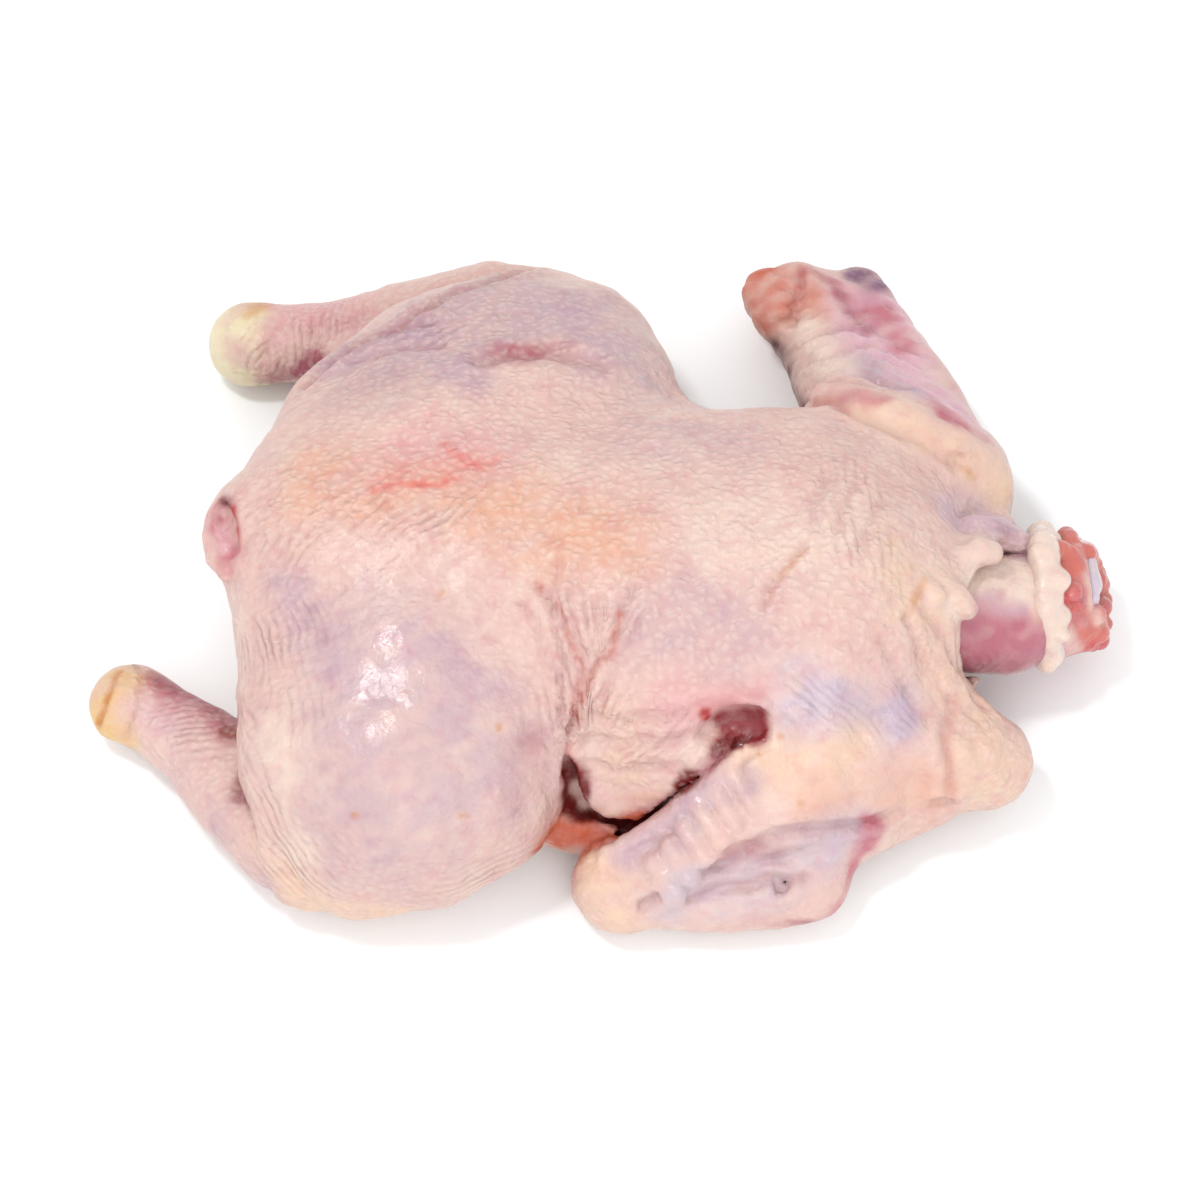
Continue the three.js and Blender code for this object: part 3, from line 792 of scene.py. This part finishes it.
def linear(colour):
    """A colour of the photo as the surface's own linear colour."""
    c = np.array(colour, float)
    return ALBEDO * np.where(c <= 0.04045, c / 12.92, ((c + 0.055) / 1.055) ** 2.4)


# Strokes of colour on the skin, as (colour, strength, reach, line)
SKIN_STROKES = [
    # right thigh and drumstick
    (LILAC, 0.85, 28, [(-62, -50, 70), (-66, -80, 50), (-40, -72, 60)]),
    (LAVENDER, 0.6, 9, [(-92, -20, 70), (-84, -29, 69), (-78, -40, 70)]),
    (MAUVE, 0.5, 3, [(-84, -26, 70), (-80, -36, 70)]),
    (LAVENDER, 0.6, 9, [(-50, -42, 75), (-34, -50, 70)]),
    (ROSE, 0.35, 7, [(-30, -80, 40), (-24, -72, 50), (-22, -62, 56)]),
    (YELLOW, 0.9, 11, [(-90, -86, 26), (-78, -96, 18), (-60, -98, 14)]),
    (CREAM, 0.8, 9, [(-92, -60, 58), (-88, -76, 50), (-86, -86, 38)]),
    (SHANK_PINK, 0.8, 12, [(-128, -38, 20), (-112, -54, 22)]),
    (RED_PINK, 0.9, 8, [(-130, -26, 22), (-120, -33, 25), (-106, -42, 28)]),
    (ROSE, 0.9, 6, [(-128, -24, 20), (-116, -32, 24), (-106, -42, 28)]),
    # painted shade on the drumstick, under the overhanging edge of the thigh's skin
    (UNDER_THIGH_SHADE, 1.3, 4, [(-108, -44, 30), (-103, -54, 34), (-103, -66, 32)]),
    (LAVENDER, 0.8, 9, [(-108, -64, 24), (-98, -84, 16)]),
    # left thigh and drumstick
    (MAUVE, 0.5, 24, [(-64, 62, 68), (-30, 84, 64), (-4, 82, 64)]),
    (LILAC, 0.8, 20, [(-50, 70, 68), (-20, 80, 66), (10, 66, 66)]),
    (LAVENDER, 0.8, 9, [(-76, 66, 62), (-56, 74, 66)]),
    (MAUVE, 0.6, 3, [(-80, 66, 61), (-66, 75, 62), (-52, 77, 66)]),
    (LAVENDER, 0.7, 6, [(-50, 66, 70), (-36, 47, 77)]),
    (LAVENDER, 0.7, 8, [(0, 69, 68), (-12, 82, 65)]),
    (PINK, 0.8, 12, [(-98, 108, 24), (-80, 108, 28)]),
    (IVORY, 1.4, 10, [(-122, 104, 12), (-116, 106, 20), (-116, 96, 10)]),
    (OCHRE, 0.7, 4, [(-115, 110, 25), (-107, 112, 26)]),
    (ROSE, 1.0, 6, [(-102, 90, 14), (-94, 89, 17), (-88, 87, 22)]),
    (BLOOD, 0.6, 2.5, [(-26, 62, 73), (-18, 63, 72)]),
    (ROSE, 0.5, 5, [(-30, 60, 73), (-10, 63, 71)]),
    # back
    (PEACH, 0.7, 16, [(-80, 12, 78), (-44, 10, 83), (-23, -4, 83), (0, -10, 82)]),
    (PINK, 0.5, 12, [(-60, 20, 80), (-36, 22, 82)]),
    (SCRATCH, 0.7, 1.4, [(-67, 7, 82), (-58, 9, 82), (-50, 8, 83), (-42, 10, 83)]),
    (SCRATCH, 0.7, 1.4, [(-46, 23, 82), (-40, 17, 83), (-34, 14, 83), (-29, 19, 82)]),
    (SCRATCH, 0.25, 7, [(-58, 10, 82), (-36, 18, 82)]),
    (LAVENDER, 0.5, 14, [(20, -34, 77), (40, -36, 75)]),
    (LAVENDER, 0.35, 12, [(10, 30, 80), (40, 26, 80)]),
    (CREAM, 0.6, 16, [(40, -4, 83), (60, -14, 82), (90, -12, 75)]),
    (YELLOW, 0.6, 12, [(86, -16, 74), (96, -22, 68), (104, -36, 50)]),
    # right flank
    (YELLOW, 0.4, 9, [(4, -58, 56), (10, -66, 44)]),
    # painted shade on the underside of the sagging pouch
    (POUCH_SHADE, 0.8, 5, [(1, -72, 30), (10, -73, 31), (20, -69, 38)]),
    (PINK, 0.8, 7, [(16, -52, 62), (26, -51, 65), (36, -51, 64)]),
    # the flap near the table: its orange-red is painted shade with light shining through the thin skin
    (ORANGE, 1.0, 9, [(-12, -78, 24), (0, -82, 20), (8, -80, 16)]),
    (RED_PINK, 0.8, 4, [(-6, -74, 28), (6, -76, 24)]),
    # right wing
    (MAUVE, 0.4, 4, [(61, -54, 62), (69, -54, 59)]),
    (VIOLET, 1.0, 11, [(58, -53, 62), (72, -54, 60), (86, -55, 55)]),
    (YELLOW, 0.9, 11, [(44, -66, 50), (58, -68, 50), (70, -66, 52)]),
    (PEACH, 0.5, 11, [(64, -76, 42), (98, -67, 32)]),
    (YELLOW, 0.7, 14, [(112, -50, 40), (118, -58, 28)]),
    (ORANGE, 0.2, 2, KNOB_CREASE),
    (YELLOW, 1.0, 11, [(0, -92, 26), (4, -99, 18)]),
    (WING_GREY, 0.9, 10, [(72, -80, 32), (50, -90, 26), (24, -95, 24)]),
    (LILAC, 0.5, 5, [(62, -82, 32), (40, -90, 27), (28, -94, 25)]),
    (ROSE, 0.35, 3, [(18, -82, 34), (36, -86, 32), (52, -84, 31)]),
    (LAVENDER, 0.8, 7, [(38, -70, 44), (28, -74, 38), (12, -84, 30)]),
    (RED_PINK, 0.9, 4, [(78, -77, 28), (74, -87, 16), (67, -95, 12)]),
    (ROSE, 1.0, 3.5, [(52, -98, 12), (62, -98, 10), (70, -93, 8)]),
    # left wing
    (WING_PINK, 1.0, 15, [(86, 108, 26), (96, 76, 40), (106, 60, 40)]),
    (RED_PINK, 0.9, 6, [(80, 116, 28), (90, 108, 26), (96, 92, 30)]),
    (ROSE, 0.8, 3.5, [(78, 116, 28), (86, 100, 32)]),
    (ROSE, 0.6, 3, [(68, 124, 24), (76, 122, 26), (80, 108, 30)]),
    (RASPBERRY, 0.9, 5, [(100, 60, 48), (105, 51, 54), (112, 48, 44)]),
    (BLOOD, 0.5, 3, [(98, 58, 48), (106, 54, 44)]),
    (LAVENDER, 0.9, 8, [(84, 80, 42), (92, 60, 52)]),
    (ORANGE, 0.8, 13, [(54, 120, 22), (59, 109, 28)]),
    (BRICK, 0.8, 1.6, [(65, 126, 25), (64, 115, 29), (62, 107, 30), (61, 102, 29)]),
    (PURPLE, 1.0, 6, [(84, 129, 19), (90, 123, 20)]),
    (YELLOW, 0.8, 9, [(78, 50, 64), (92, 42, 62), (110, 36, 53), (122, 32, 42)]),
    (CREAM, 0.9, 9, [(64, 98, 30), (72, 76, 44)]),
    (BLOOD, 0.5, 4, [(70, 54, 58), (72, 48, 63)]),
    (RED_PINK, 0.6, 4, [(76, 52, 61), (84, 49, 62)]),
    # painted shade on the underside of the left wing, by the table
    (MAROON, 0.9, 5, [(58, 98, 18), (60, 78, 24), (63, 60, 34)]),
    # creases lined with brown or orange; the ochre along the left wing's roll and beside the torn rim is
    # painted shade
    (ORANGE, 0.6, 1.1, FLANK_CREASE),
    (ORANGE, 0.6, 1.1, [(6, -31, 76), (3, -41, 71), (-2, -45, 67), (-8, -57, 56), (-11, -68, 45)]),
    (OCHRE, 0.5, 1.0, SHOULDER_CREASE),
    (OCHRE, 0.6, 1.2, HIP_BEND),
    # painted shade along the crease under the left wing's roll
    (OCHRE, 0.45, 1.3, [(86, 41, 65), (92, 38, 64), (100, 35, 61), (108, 33, 56), (113, 31, 51)]),
    # painted shadow cast by the torn rim beside it
    (OCHRE, 0.5, 1.8, [(89, -27, 68), (91, -23, 70), (94, -17, 70)]),
    (CREAM, 1.0, 5, [(99, -17, 64), (106, -20, 58), (112, -2, 61), (117, 1, 59)]),
    (THIN_SKIN, 1.4, 9, [(108, 14, 56), (130, 14, 44)]),
    (PLUM, 0.7, 3.5, [(119, 12, 51), (123, 12, 48)]),
    # the right hock's cut end
    (HORN, 1.0, 9, [(-146, -24, 20), (-151, -30, 16), (-148, -37, 12)]),
    (OCHRE, 1.0, 1.2, HOCK_CREASE),
    # the cut tail
    (RED_PINK, 1.0, 6, [(-112, 9, 66), (-111, 3, 65), (-110, -2, 64)]),
    (SHELL_PINK, 0.9, 2, [(-112, 5, 64), (-111, -1, 62)]),
    (MAROON, 0.9, 2, [(-111, 12, 67), (-109, 10, 69)]),
    (BLOOD, 0.9, 1.6, [(-108, 8, 70), (-107, 2, 69), (-107, -4, 67)]),
    # the opening and the crevice behind the right wing: red flesh in the opening, partly its own colour and
    # partly painted shade, and painted shade along the crevice
    (SALMON, 0.9, 6, [(32, -53, 62), (38, -51, 64), (44, -52, 62)]),
    # the red inside the opening: partly the flesh's own colour, partly painted shade in its depth
    (DEEP_RED, 2.0, 4.8, [(39, -56, 54), (44, -56, 55)]),
    (BLOOD, 0.9, 1.6, [(30, -55, 61), (32, -57, 57), (34, -60, 53)]),
    # painted shade where the wing's edge meets the opening
    (DARK_RED_SHADE, 2.0, 2.8, [(37, -61, 51), (34, -62, 50)]),
    # painted shade on the flank side of the crevice
    (ROSE, 0.8, 3, [(34, -64, 48), (22, -70, 38), (12, -74, 31)]),
    # painted shadow along the crevice under the wing's edge
    (DEEP_RED, 1.6, 1.8, [(44, -59, 54), (38, -62, 49), (31, -66, 44), (22, -70, 37), (12, -74, 28)]),
    # a spot of painted shade deep in the crevice
    (DARK_RED_SHADE, 2.0, 2.8, [(24, -69, 42), (26, -68, 45)]),
    # the pockets beside the pouch, dark with painted shade
    # painted shade in the hollow under the pouch
    (ORANGE, 1.6, 6, [(-12, -74, 20), (-4, -75, 22), (6, -76, 22), (14, -73, 27)]),
    # painted shade in the pocket between the right thigh and the flank
    (DEEP_RED, 1.5, 3.5, [(-12, -66, 47), (-10, -67, 40)]),
    # deeper painted shade in the pocket and under the pouch
    (DARK_RED_SHADE, 2.0, 4.5, [(-10, -66, 38), (-9, -66, 28), (0, -70, 20), (12, -71, 22)]),
]

# Strokes of colour on the neck
NECK_STROKES = [
    (MUSLIN, 1.4, 13, [(100, -6, 58), (114, -4, 54), (132, -2, 48)]),
    (DUSKY_PINK, 0.9, 4, [(98, -20, 54), (112, -16, 51), (128, -13, 46)]),
    (LAVENDER, 0.9, 6, [(116, 14, 50), (128, 12, 46)]),
    (MEAT_ROSE, 1.2, 9, [(94, -23, 50), (110, -24, 42), (126, -21, 38)]),
    (ROSE, 0.8, 5, [(98, -26, 38), (112, -26, 32), (128, -22, 30)]),
    (CREAM, 0.8, 3, [(100, -25, 30), (116, -25, 24), (130, -21, 22)]),
    (CORAL, 1.0, 10, [(147, -12, 30), (153, 4, 16), (149, 18, 30), (142, 8, 44), (144, -8, 40)]),
    (CREAM, 0.6, 3, [(140, -14, 34), (143, -14, 24)]),
    (CREAM, 0.7, 2.2, [(147, 2, 42), (148, -4, 38), (150, -8, 32)]),
    (SCARLET, 0.9, 3.5, [(141, -6, 43), (144, -10, 38)]),
    (SCARLET, 0.9, 3.5, [(150, -9, 20), (152, -4, 16)]),
    (CLOT, 1.0, 2.2, [(151, -1, 35), (150, 1, 37)]),
]

# Small brown and orange specks, as points on the skin
SPECKS = [
    (-70, -86, 56), (-39, -85, 54), (-46, -25, 77), (-29, -62, 65),
    (46, -63, 51), (39, -64, 49), (58, -76, 44), (40, -76, 41), (52, -60, 55), (29, -72, 39),
    (101, -43, 47), (84, -8, 77), (90, -14, 73),
]


def laid_over(colours, tint, share):
    """The colours with a tint mixed in by each point's share."""
    return colours + share[:, None] * (linear(tint) - colours)


def painted(points, base, strokes, seed):
    """Linear colours of the points: a base colour with soft, uneven strokes laid over it."""
    colours = np.tile(linear(base), (len(points), 1))
    colours = laid_over(colours, CREAM, np.clip(ripples(points, CREAM_SWELLS, seed), 0, 1))
    moved = wandered(points, *STROKE_WANDER, seed)
    patches = 1 + ripples(points, STROKE_SWELLS, seed)
    for tint, strength, reach, line in strokes:
        spread = moved if reach > FINE_STROKE else points
        away = np.maximum(distance_to(line, spread), 0) / reach
        share = np.clip(strength * patches * np.exp(-(away**3)), 0, 1)
        colours = laid_over(colours, tint, share)
    return colours


def shaded_creases_and_specks(points, colours):
    """The colours with painted shade darkening the creases' beds, and the specks laid over them."""
    moved = wandered(points, *CREASE_WANDER)
    for width, depth, line in CREASES:
        # painted shade: rose darkens each crease's bed, more for a deeper crease
        share = min(BED_SHADE * depth, MOST_BED_SHADE) * share_near(line, width, moved)
        colours = laid_over(colours, ROSE, share)
    for speck in SPECKS:
        share = SPECK_STRENGTH * np.exp(-(distance_to([speck], points) ** 2))
        colours = laid_over(colours, OCHRE, share)
    return colours


# The four numbers of a point's finish
DOTS, FOLD_STRENGTH, FOLD_COUNT, WETNESS = range(4)


def wet_patches(points, middle, swells):
    """How wet the flesh is, which goes up and down round its middle."""
    return np.clip(middle + ripples(points, swells), 0, 1)


def skin_finish(points):
    """Where the skin has dots, wrinkles and a wet gloss."""
    finish = np.zeros((len(points), 4), np.float32)
    finish[:, DOTS] = 1
    for reach, line in SMOOTH:
        finish[:, DOTS] *= 1 - share_near(line, reach, points)
    for spacing, strength, reach, line, source in WRINKLES:
        here = strength * share_near(line, reach, points)
        count = distance_to(source, points) / spacing
        finish[:, FOLD_COUNT] = np.where(here > finish[:, FOLD_STRENGTH], count, finish[:, FOLD_COUNT])
        finish[:, FOLD_STRENGTH] = np.maximum(finish[:, FOLD_STRENGTH], here)
    for strength, reach, line in WET:
        finish[:, WETNESS] = np.maximum(finish[:, WETNESS], strength * share_near(line, reach, points))
    finish[:, WETNESS] *= wet_patches(points, *SKIN_WET)
    return finish


def raw_finish(points):
    """The same for meat, fat and bone: no dots, no wrinkles, wet in patches."""
    finish = np.zeros((len(points), 4), np.float32)
    finish[:, WETNESS] = wet_patches(points, *MEAT_WET)
    return finish


# Pieces


def mesh_object(name, points, quads, colours, finish):
    """A smooth mesh that holds each point's colour and finish."""
    mesh = bpy.data.meshes.new(name)
    mesh.from_pydata(((points - FORM_MIDDLE) * MM).tolist(), [], quads.tolist())
    mesh.shade_smooth()
    paint = mesh.color_attributes.new("Paint", "FLOAT_COLOR", "POINT")
    rgba = np.ones((len(points), 4), np.float32)
    rgba[:, :3] = colours
    paint.data.foreach_set("color", rgba.ravel())
    mesh.color_attributes.new("Finish", "FLOAT_COLOR", "POINT").data.foreach_set("color", finish.ravel())
    piece = bpy.data.objects.new(name, mesh)
    bpy.context.scene.collection.objects.link(piece)
    return piece


def dress(piece, material, solid):
    """The piece gets its material and takes the solid's place."""
    piece.data.materials.append(material)
    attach(piece, "root")
    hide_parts(solid)


# How the flesh looks up close: noise scales are per metre, and heights of bumps in millimetres
PATCH_NOISE = {"Detail": 4, "Roughness": 0.6}
LILAC_PATCHES = {"scale": 85, "low": 0.45, "high": 0.7, "most": 0.45}
PINK_PATCHES = {"scale": 170, "low": 0.52, "high": 0.8, "most": 0.8}
FOLD_PATCHES = {"scale": 60, "low": 0.3, "high": 0.65, "most": 1.0}
FOLD_NOISE = {"Scale": 70, "Detail": 3}
FOLD_WANDER = 2.4  # how many folds a line of folds wanders by
DOT_SCALE = 400
DOT_OVAL = (0.75, 1, 1)
DOT_SCATTER = 0.85
DOT_FADE = {"From Min": 0.05, "From Max": 0.6, "To Min": 1, "To Max": 0}
DOT_BEND = 0.004
BEND_NOISE = {"Scale": 160, "Detail": 2}
SIDE_SHARPNESS = 2.0  # how fast the texture of one side gives way to the next
BETWEEN_DOTS = {"Saturation": 1.06, "Value": 0.96}
DOT_PALENESS = 0.24
# how much rose darkens the creases between wrinkles, as painted shade
WRINKLE_SHADE_STRENGTH = 0.26
GRAIN_NOISE = {"Scale": 420, "Detail": 5, "Roughness": 0.6}
SWELL_NOISE = {"Scale": 130, "Detail": 2}
GRAIN_HEIGHT = 0.55
SWELL_HEIGHT = 1.5
DOT_HEIGHT = 0.3
FOLD_HEIGHT = 0.9
GLAZE_GRAIN = 0.4
GLAZE_SWELL = 1.0
GLAZE_STRENGTH = 0.45
WET_SMOOTHER = 0.2
WET_COAT = 0.6
FLESH_SHINE = {
    "Subsurface Radius": (1, 0.4, 0.25),
    "Subsurface Scale": 0.002,
    "Coat Roughness": 0.13,
    "IOR": 1.4,
}

# Kinds of flesh, as (colour of the dots, roughness, share of light that soaks in, coat)
SKIN_FLESH = (CREAM, 0.42, 0.2, 0.12)
MEAT_FLESH = (PINK, 0.4, 0.15, 0.2)
PALE_FLESH = (CREAM, 0.42, 0.2, 0.1)

# The mix node's inputs and output for a vector and for a colour
VECTOR_A, VECTOR_B, VECTOR_OUT = 4, 5, 1
COLOUR_A, COLOUR_B, COLOUR_OUT = 6, 7, 2


def node(tree, kind, inputs=None, **settings):
    """A shader node: inputs are sockets to link from, or values."""
    made = tree.nodes.new("ShaderNode" + kind)
    for name, value in settings.items():
        setattr(made, name, value)
    for name, value in (inputs or {}).items():
        if isinstance(value, bpy.types.NodeSocket):
            tree.links.new(value, made.inputs[name])
        else:
            made.inputs[name].default_value = value
    return made


def maths(tree, operation, *values):
    """Arithmetic with one or two sockets or numbers."""
    return node(tree, "Math", dict(enumerate(values)), operation=operation).outputs[0]


def times(tree, value, factor):
    return maths(tree, "MULTIPLY", value, factor)


def plus(tree, value, other):
    return maths(tree, "ADD", value, other)


def noise(tree, place, settings, output="Fac"):
    return node(tree, "TexNoise", {"Vector": place, **settings}).outputs[output]


def mixed(tree, share, first, second):
    """One colour mixed into another by a share, which is a socket or a number."""
    inputs = {0: share, COLOUR_A: first, COLOUR_B: second}
    return node(tree, "Mix", inputs, data_type="RGBA").outputs[COLOUR_OUT]


def tinted(tree, share, colour, tint):
    """The colour, multiplied by a tint where the share is high, so that dark paint stays dark."""
    inputs = {0: share, COLOUR_A: colour, COLOUR_B: (*tint, 1)}
    return node(tree, "Mix", inputs, data_type="RGBA", blend_type="MULTIPLY").outputs[COLOUR_OUT]


def seen_from_three_sides(tree, place, scale, texture):
    """A flat texture laid on the surface along each of the three axes, and mixed by how the surface faces."""
    split = node(tree, "SeparateXYZ", {0: place})
    facing = node(tree, "SeparateXYZ", {0: node(tree, "TexCoord").outputs["Normal"]})
    parts = []
    weights = []
    for across, along, through in ((0, 1, 2), (0, 2, 1), (1, 2, 0)):
        flat = node(tree, "CombineXYZ", {0: split.outputs[across], 1: split.outputs[along]})
        square = times(tree, facing.outputs[through], facing.outputs[through])
        weight = maths(tree, "POWER", square, SIDE_SHARPNESS)
        parts.append(times(tree, texture(tree, flat.outputs[0], scale), weight))
        weights.append(weight)
    add = functools.partial(plus, tree)
    return maths(tree, "DIVIDE", functools.reduce(add, parts), functools.reduce(add, weights))


def follicle(tree, place, scale):
    """Oval dots, longer along the body: 1 in the middle of a dot, 0 between dots."""
    oval = node(tree, "Mapping", {"Vector": place, "Scale": DOT_OVAL}).outputs[0]
    pattern = {"Vector": oval, "Scale": scale, "Randomness": DOT_SCATTER}
    cells = node(tree, "TexVoronoi", pattern, voronoi_dimensions="2D")
    fade = {"Value": cells.outputs["Distance"], **DOT_FADE}
    return node(tree, "MapRange", fade, interpolation_type="SMOOTHSTEP").outputs[0]


def follicles(tree, place):
    """The dots over the whole skin, on places that bend a little."""
    bend = noise(tree, place, BEND_NOISE, "Color")
    inputs = {0: DOT_BEND, VECTOR_A: place, VECTOR_B: bend}
    bent = node(tree, "Mix", inputs, data_type="VECTOR").outputs[VECTOR_OUT]
    return seen_from_three_sides(tree, bent, DOT_SCALE, follicle)


def patchy(tree, place, scale, low, high, most):
    """Soft patches: 0 in most places, up to a share in the patches."""
    cloud = noise(tree, place, {"Scale": scale, **PATCH_NOISE})
    spread = {"Value": cloud, "From Min": low, "From Max": high, "To Max": most}
    return node(tree, "MapRange", spread).outputs[0]


def wrinkled(tree, place, count):
    """Rows of wrinkles, wandering a little: 1 on the folds, 0 in the creases between them."""
    wander = times(tree, noise(tree, place, FOLD_NOISE), FOLD_WANDER)
    turns = times(tree, plus(tree, count, wander), math.pi)
    return maths(tree, "ABSOLUTE", maths(tree, "SINE", turns))


def flesh_colour(tree, place, dots, dot, wrinkle_shade, pale):
    """The painted colour, mottled, with pale dots and painted shade in the creases between the wrinkles."""
    paint = node(tree, "Attribute", attribute_name="Paint").outputs["Color"]
    mottled = tinted(tree, patchy(tree, place, **LILAC_PATCHES), paint, LILAC_TINT)
    flushed = tinted(tree, patchy(tree, place, **PINK_PATCHES), mottled, PINK_TINT)
    between = node(tree, "HueSaturation", {**BETWEEN_DOTS, "Color": flushed}).outputs[0]
    lighter = mixed(tree, DOT_PALENESS, flushed, (*linear(pale), 1))
    dotted = mixed(tree, dot, mixed(tree, dots, flushed, between), lighter)
    # painted shade: rose in the creases between the wrinkles
    return mixed(tree, times(tree, wrinkle_shade, WRINKLE_SHADE_STRENGTH), dotted, (*linear(ROSE), 1))


def bump(tree, strength, *layers):
    """A bump of layers laid on each other, each a socket and its height."""
    heights = [times(tree, *layer) for layer in layers]
    height = functools.reduce(functools.partial(plus, tree), heights)
    return node(tree, "Bump", {"Height": height, "Strength": strength, "Distance": MM}).outputs[0]


def flesh(name, pale, roughness, subsurface, coat):
    """Wet skin or meat: painted colour, pale follicle dots, soft mottling, wrinkles and fine bumps."""
    material = bpy.data.materials.new(name)
    material.use_nodes = True
    tree = material.node_tree
    tree.nodes.clear()
    place = node(tree, "TexCoord").outputs["Object"]
    finish = node(tree, "Attribute", attribute_name="Finish")
    wetness = finish.outputs["Alpha"]
    dots, strength, count = node(tree, "SeparateColor", {0: finish.outputs["Color"]}).outputs[:3]
    dot = times(tree, follicles(tree, place), dots)
    wrinkles = wrinkled(tree, place, count)
    strength = times(tree, strength, patchy(tree, place, **FOLD_PATCHES))
    folds = times(tree, wrinkles, strength)
    # painted shade, strongest in the creases between the wrinkles
    wrinkle_shade = times(tree, maths(tree, "SUBTRACT", 1.0, wrinkles), strength)
    grain = noise(tree, place, GRAIN_NOISE)
    swell = noise(tree, place, SWELL_NOISE)
    relief = [(grain, GRAIN_HEIGHT), (swell, SWELL_HEIGHT), (dot, DOT_HEIGHT), (folds, FOLD_HEIGHT)]
    inputs = {
        "Base Color": flesh_colour(tree, place, dots, dot, wrinkle_shade, pale),
        "Roughness": plus(tree, times(tree, wetness, -WET_SMOOTHER), roughness),
        "Subsurface Weight": subsurface,
        "Coat Weight": plus(tree, times(tree, wetness, WET_COAT), coat),
        "Normal": bump(tree, 1.0, *relief),
        "Coat Normal": bump(tree, GLAZE_STRENGTH, (grain, GLAZE_GRAIN), (swell, GLAZE_SWELL)),
        **FLESH_SHINE,
    }
    shader = node(tree, "BsdfPrincipled", inputs)
    node(tree, "OutputMaterial", {0: shader.outputs[0]})
    return material


def plain(name, colour, roughness):
    """A material of one even colour."""
    material = bpy.data.materials.new(name)
    material.use_nodes = True
    shader = material.node_tree.nodes["Principled BSDF"]
    shader.inputs["Base Color"].default_value = (*colour, 1)
    shader.inputs["Roughness"].default_value = roughness
    return material


def build_skin():
    points, quads = surface_of(carcass, SKIN_BOX, SKIN_STEP)
    points = creased(points, normals_of(points, quads))
    # the creases' beds get painted shade, and the specks are laid on
    colours = shaded_creases_and_specks(points, painted(points, SKIN_BASE, SKIN_STROKES, SKIN_SEED))
    piece = mesh_object("skin", points, quads, colours, skin_finish(points))
    dress(piece, flesh("skin", *SKIN_FLESH), "carcass")


def build_neck_meat():
    points, quads = surface_of(torn_neck, NECK_BOX, NECK_STEP)
    colours = painted(points, MEAT, NECK_STROKES, MEAT_SEED)
    piece = mesh_object("neck_meat", points, quads, colours, raw_finish(points))
    dress(piece, flesh("meat", *MEAT_FLESH), "neck")


def build_small_pieces():
    for solid, field, colour, slot in (
        ("neck_fat", lumpy_fat, CREAM, "fat"),
        ("neck_bone", neck_bone, BONE_WHITE, "bone"),
        ("windpipe", windpipe, GRISTLE, "gristle"),
    ):
        points, quads = surface_of(field, NECK_BOX, SMALL_STEP)
        colours = painted(points, colour, [], PALE_SEED)
        piece = mesh_object(solid + "_look", points, quads, colours, raw_finish(points))
        dress(piece, flesh(solid, *PALE_FLESH), solid)


# Camera, light and floor
AIM = np.array([0, 0, 30])  # what the camera looks at, in the form's frame
CAMERA_DISTANCE = 1100
CAMERA_RISE = math.radians(60)
LENS = 108.9  # on a 36 mm wide picture

# Round soft lights, as (name, place, width, watts), and the floor, in metres
SOFTBOXES = [
    ("overhead", (-0.38, 0, 1.2), 0.18, 4.4),
    ("front", (0.2, -1.0, 0.75), 0.8, 5),
]
WORLD_STRENGTH = 0.98
FLOOR_HALF = 3
FLOOR_COLOUR = (0.93, 0.955, 0.96)
FLOOR_ROUGHNESS = 0.9


def build_camera():
    data = bpy.data.cameras.new("camera")
    data.lens = LENS
    camera = bpy.data.objects.new("camera", data)
    away = np.array([0, -math.cos(CAMERA_RISE), math.sin(CAMERA_RISE)]) * CAMERA_DISTANCE
    camera.location = (AIM + away - FORM_MIDDLE) * MM
    camera.rotation_euler = (math.pi / 2 - CAMERA_RISE, 0, 0)
    bpy.context.scene.collection.objects.link(camera)
    bpy.context.scene.camera = camera


def softbox(name, place, size, energy):
    """A round soft light that shines at the part's origin."""
    data = bpy.data.lights.new(name, "AREA")
    data.shape = "DISK"
    data.size = size
    data.energy = energy
    light = bpy.data.objects.new(name, data)
    light.location = place
    light.rotation_euler = Vector(place).to_track_quat("Z", "Y").to_euler()
    bpy.context.scene.collection.objects.link(light)


def build_light():
    for box in SOFTBOXES:
        softbox(*box)
    world = bpy.data.worlds.new("white")
    world.use_nodes = True
    background = world.node_tree.nodes["Background"]
    background.inputs["Color"].default_value = (1, 1, 1, 1)
    background.inputs["Strength"].default_value = WORLD_STRENGTH
    bpy.context.scene.world = world
    bpy.context.scene.view_settings.view_transform = "Standard"


def build_floor():
    mesh = bpy.data.meshes.new("floor")
    corners = [(x * FLOOR_HALF, y * FLOOR_HALF, 0) for x, y in ((-1, -1), (1, -1), (1, 1), (-1, 1))]
    mesh.from_pydata(corners, [], [(0, 1, 2, 3)])
    mesh.materials.append(plain("white floor", FLOOR_COLOUR, FLOOR_ROUGHNESS))
    floor = bpy.data.objects.new("floor", mesh)
    bpy.context.scene.collection.objects.link(floor)


build_camera()
build_light()
build_floor()
build_skin()
build_neck_meat()
build_small_pieces()
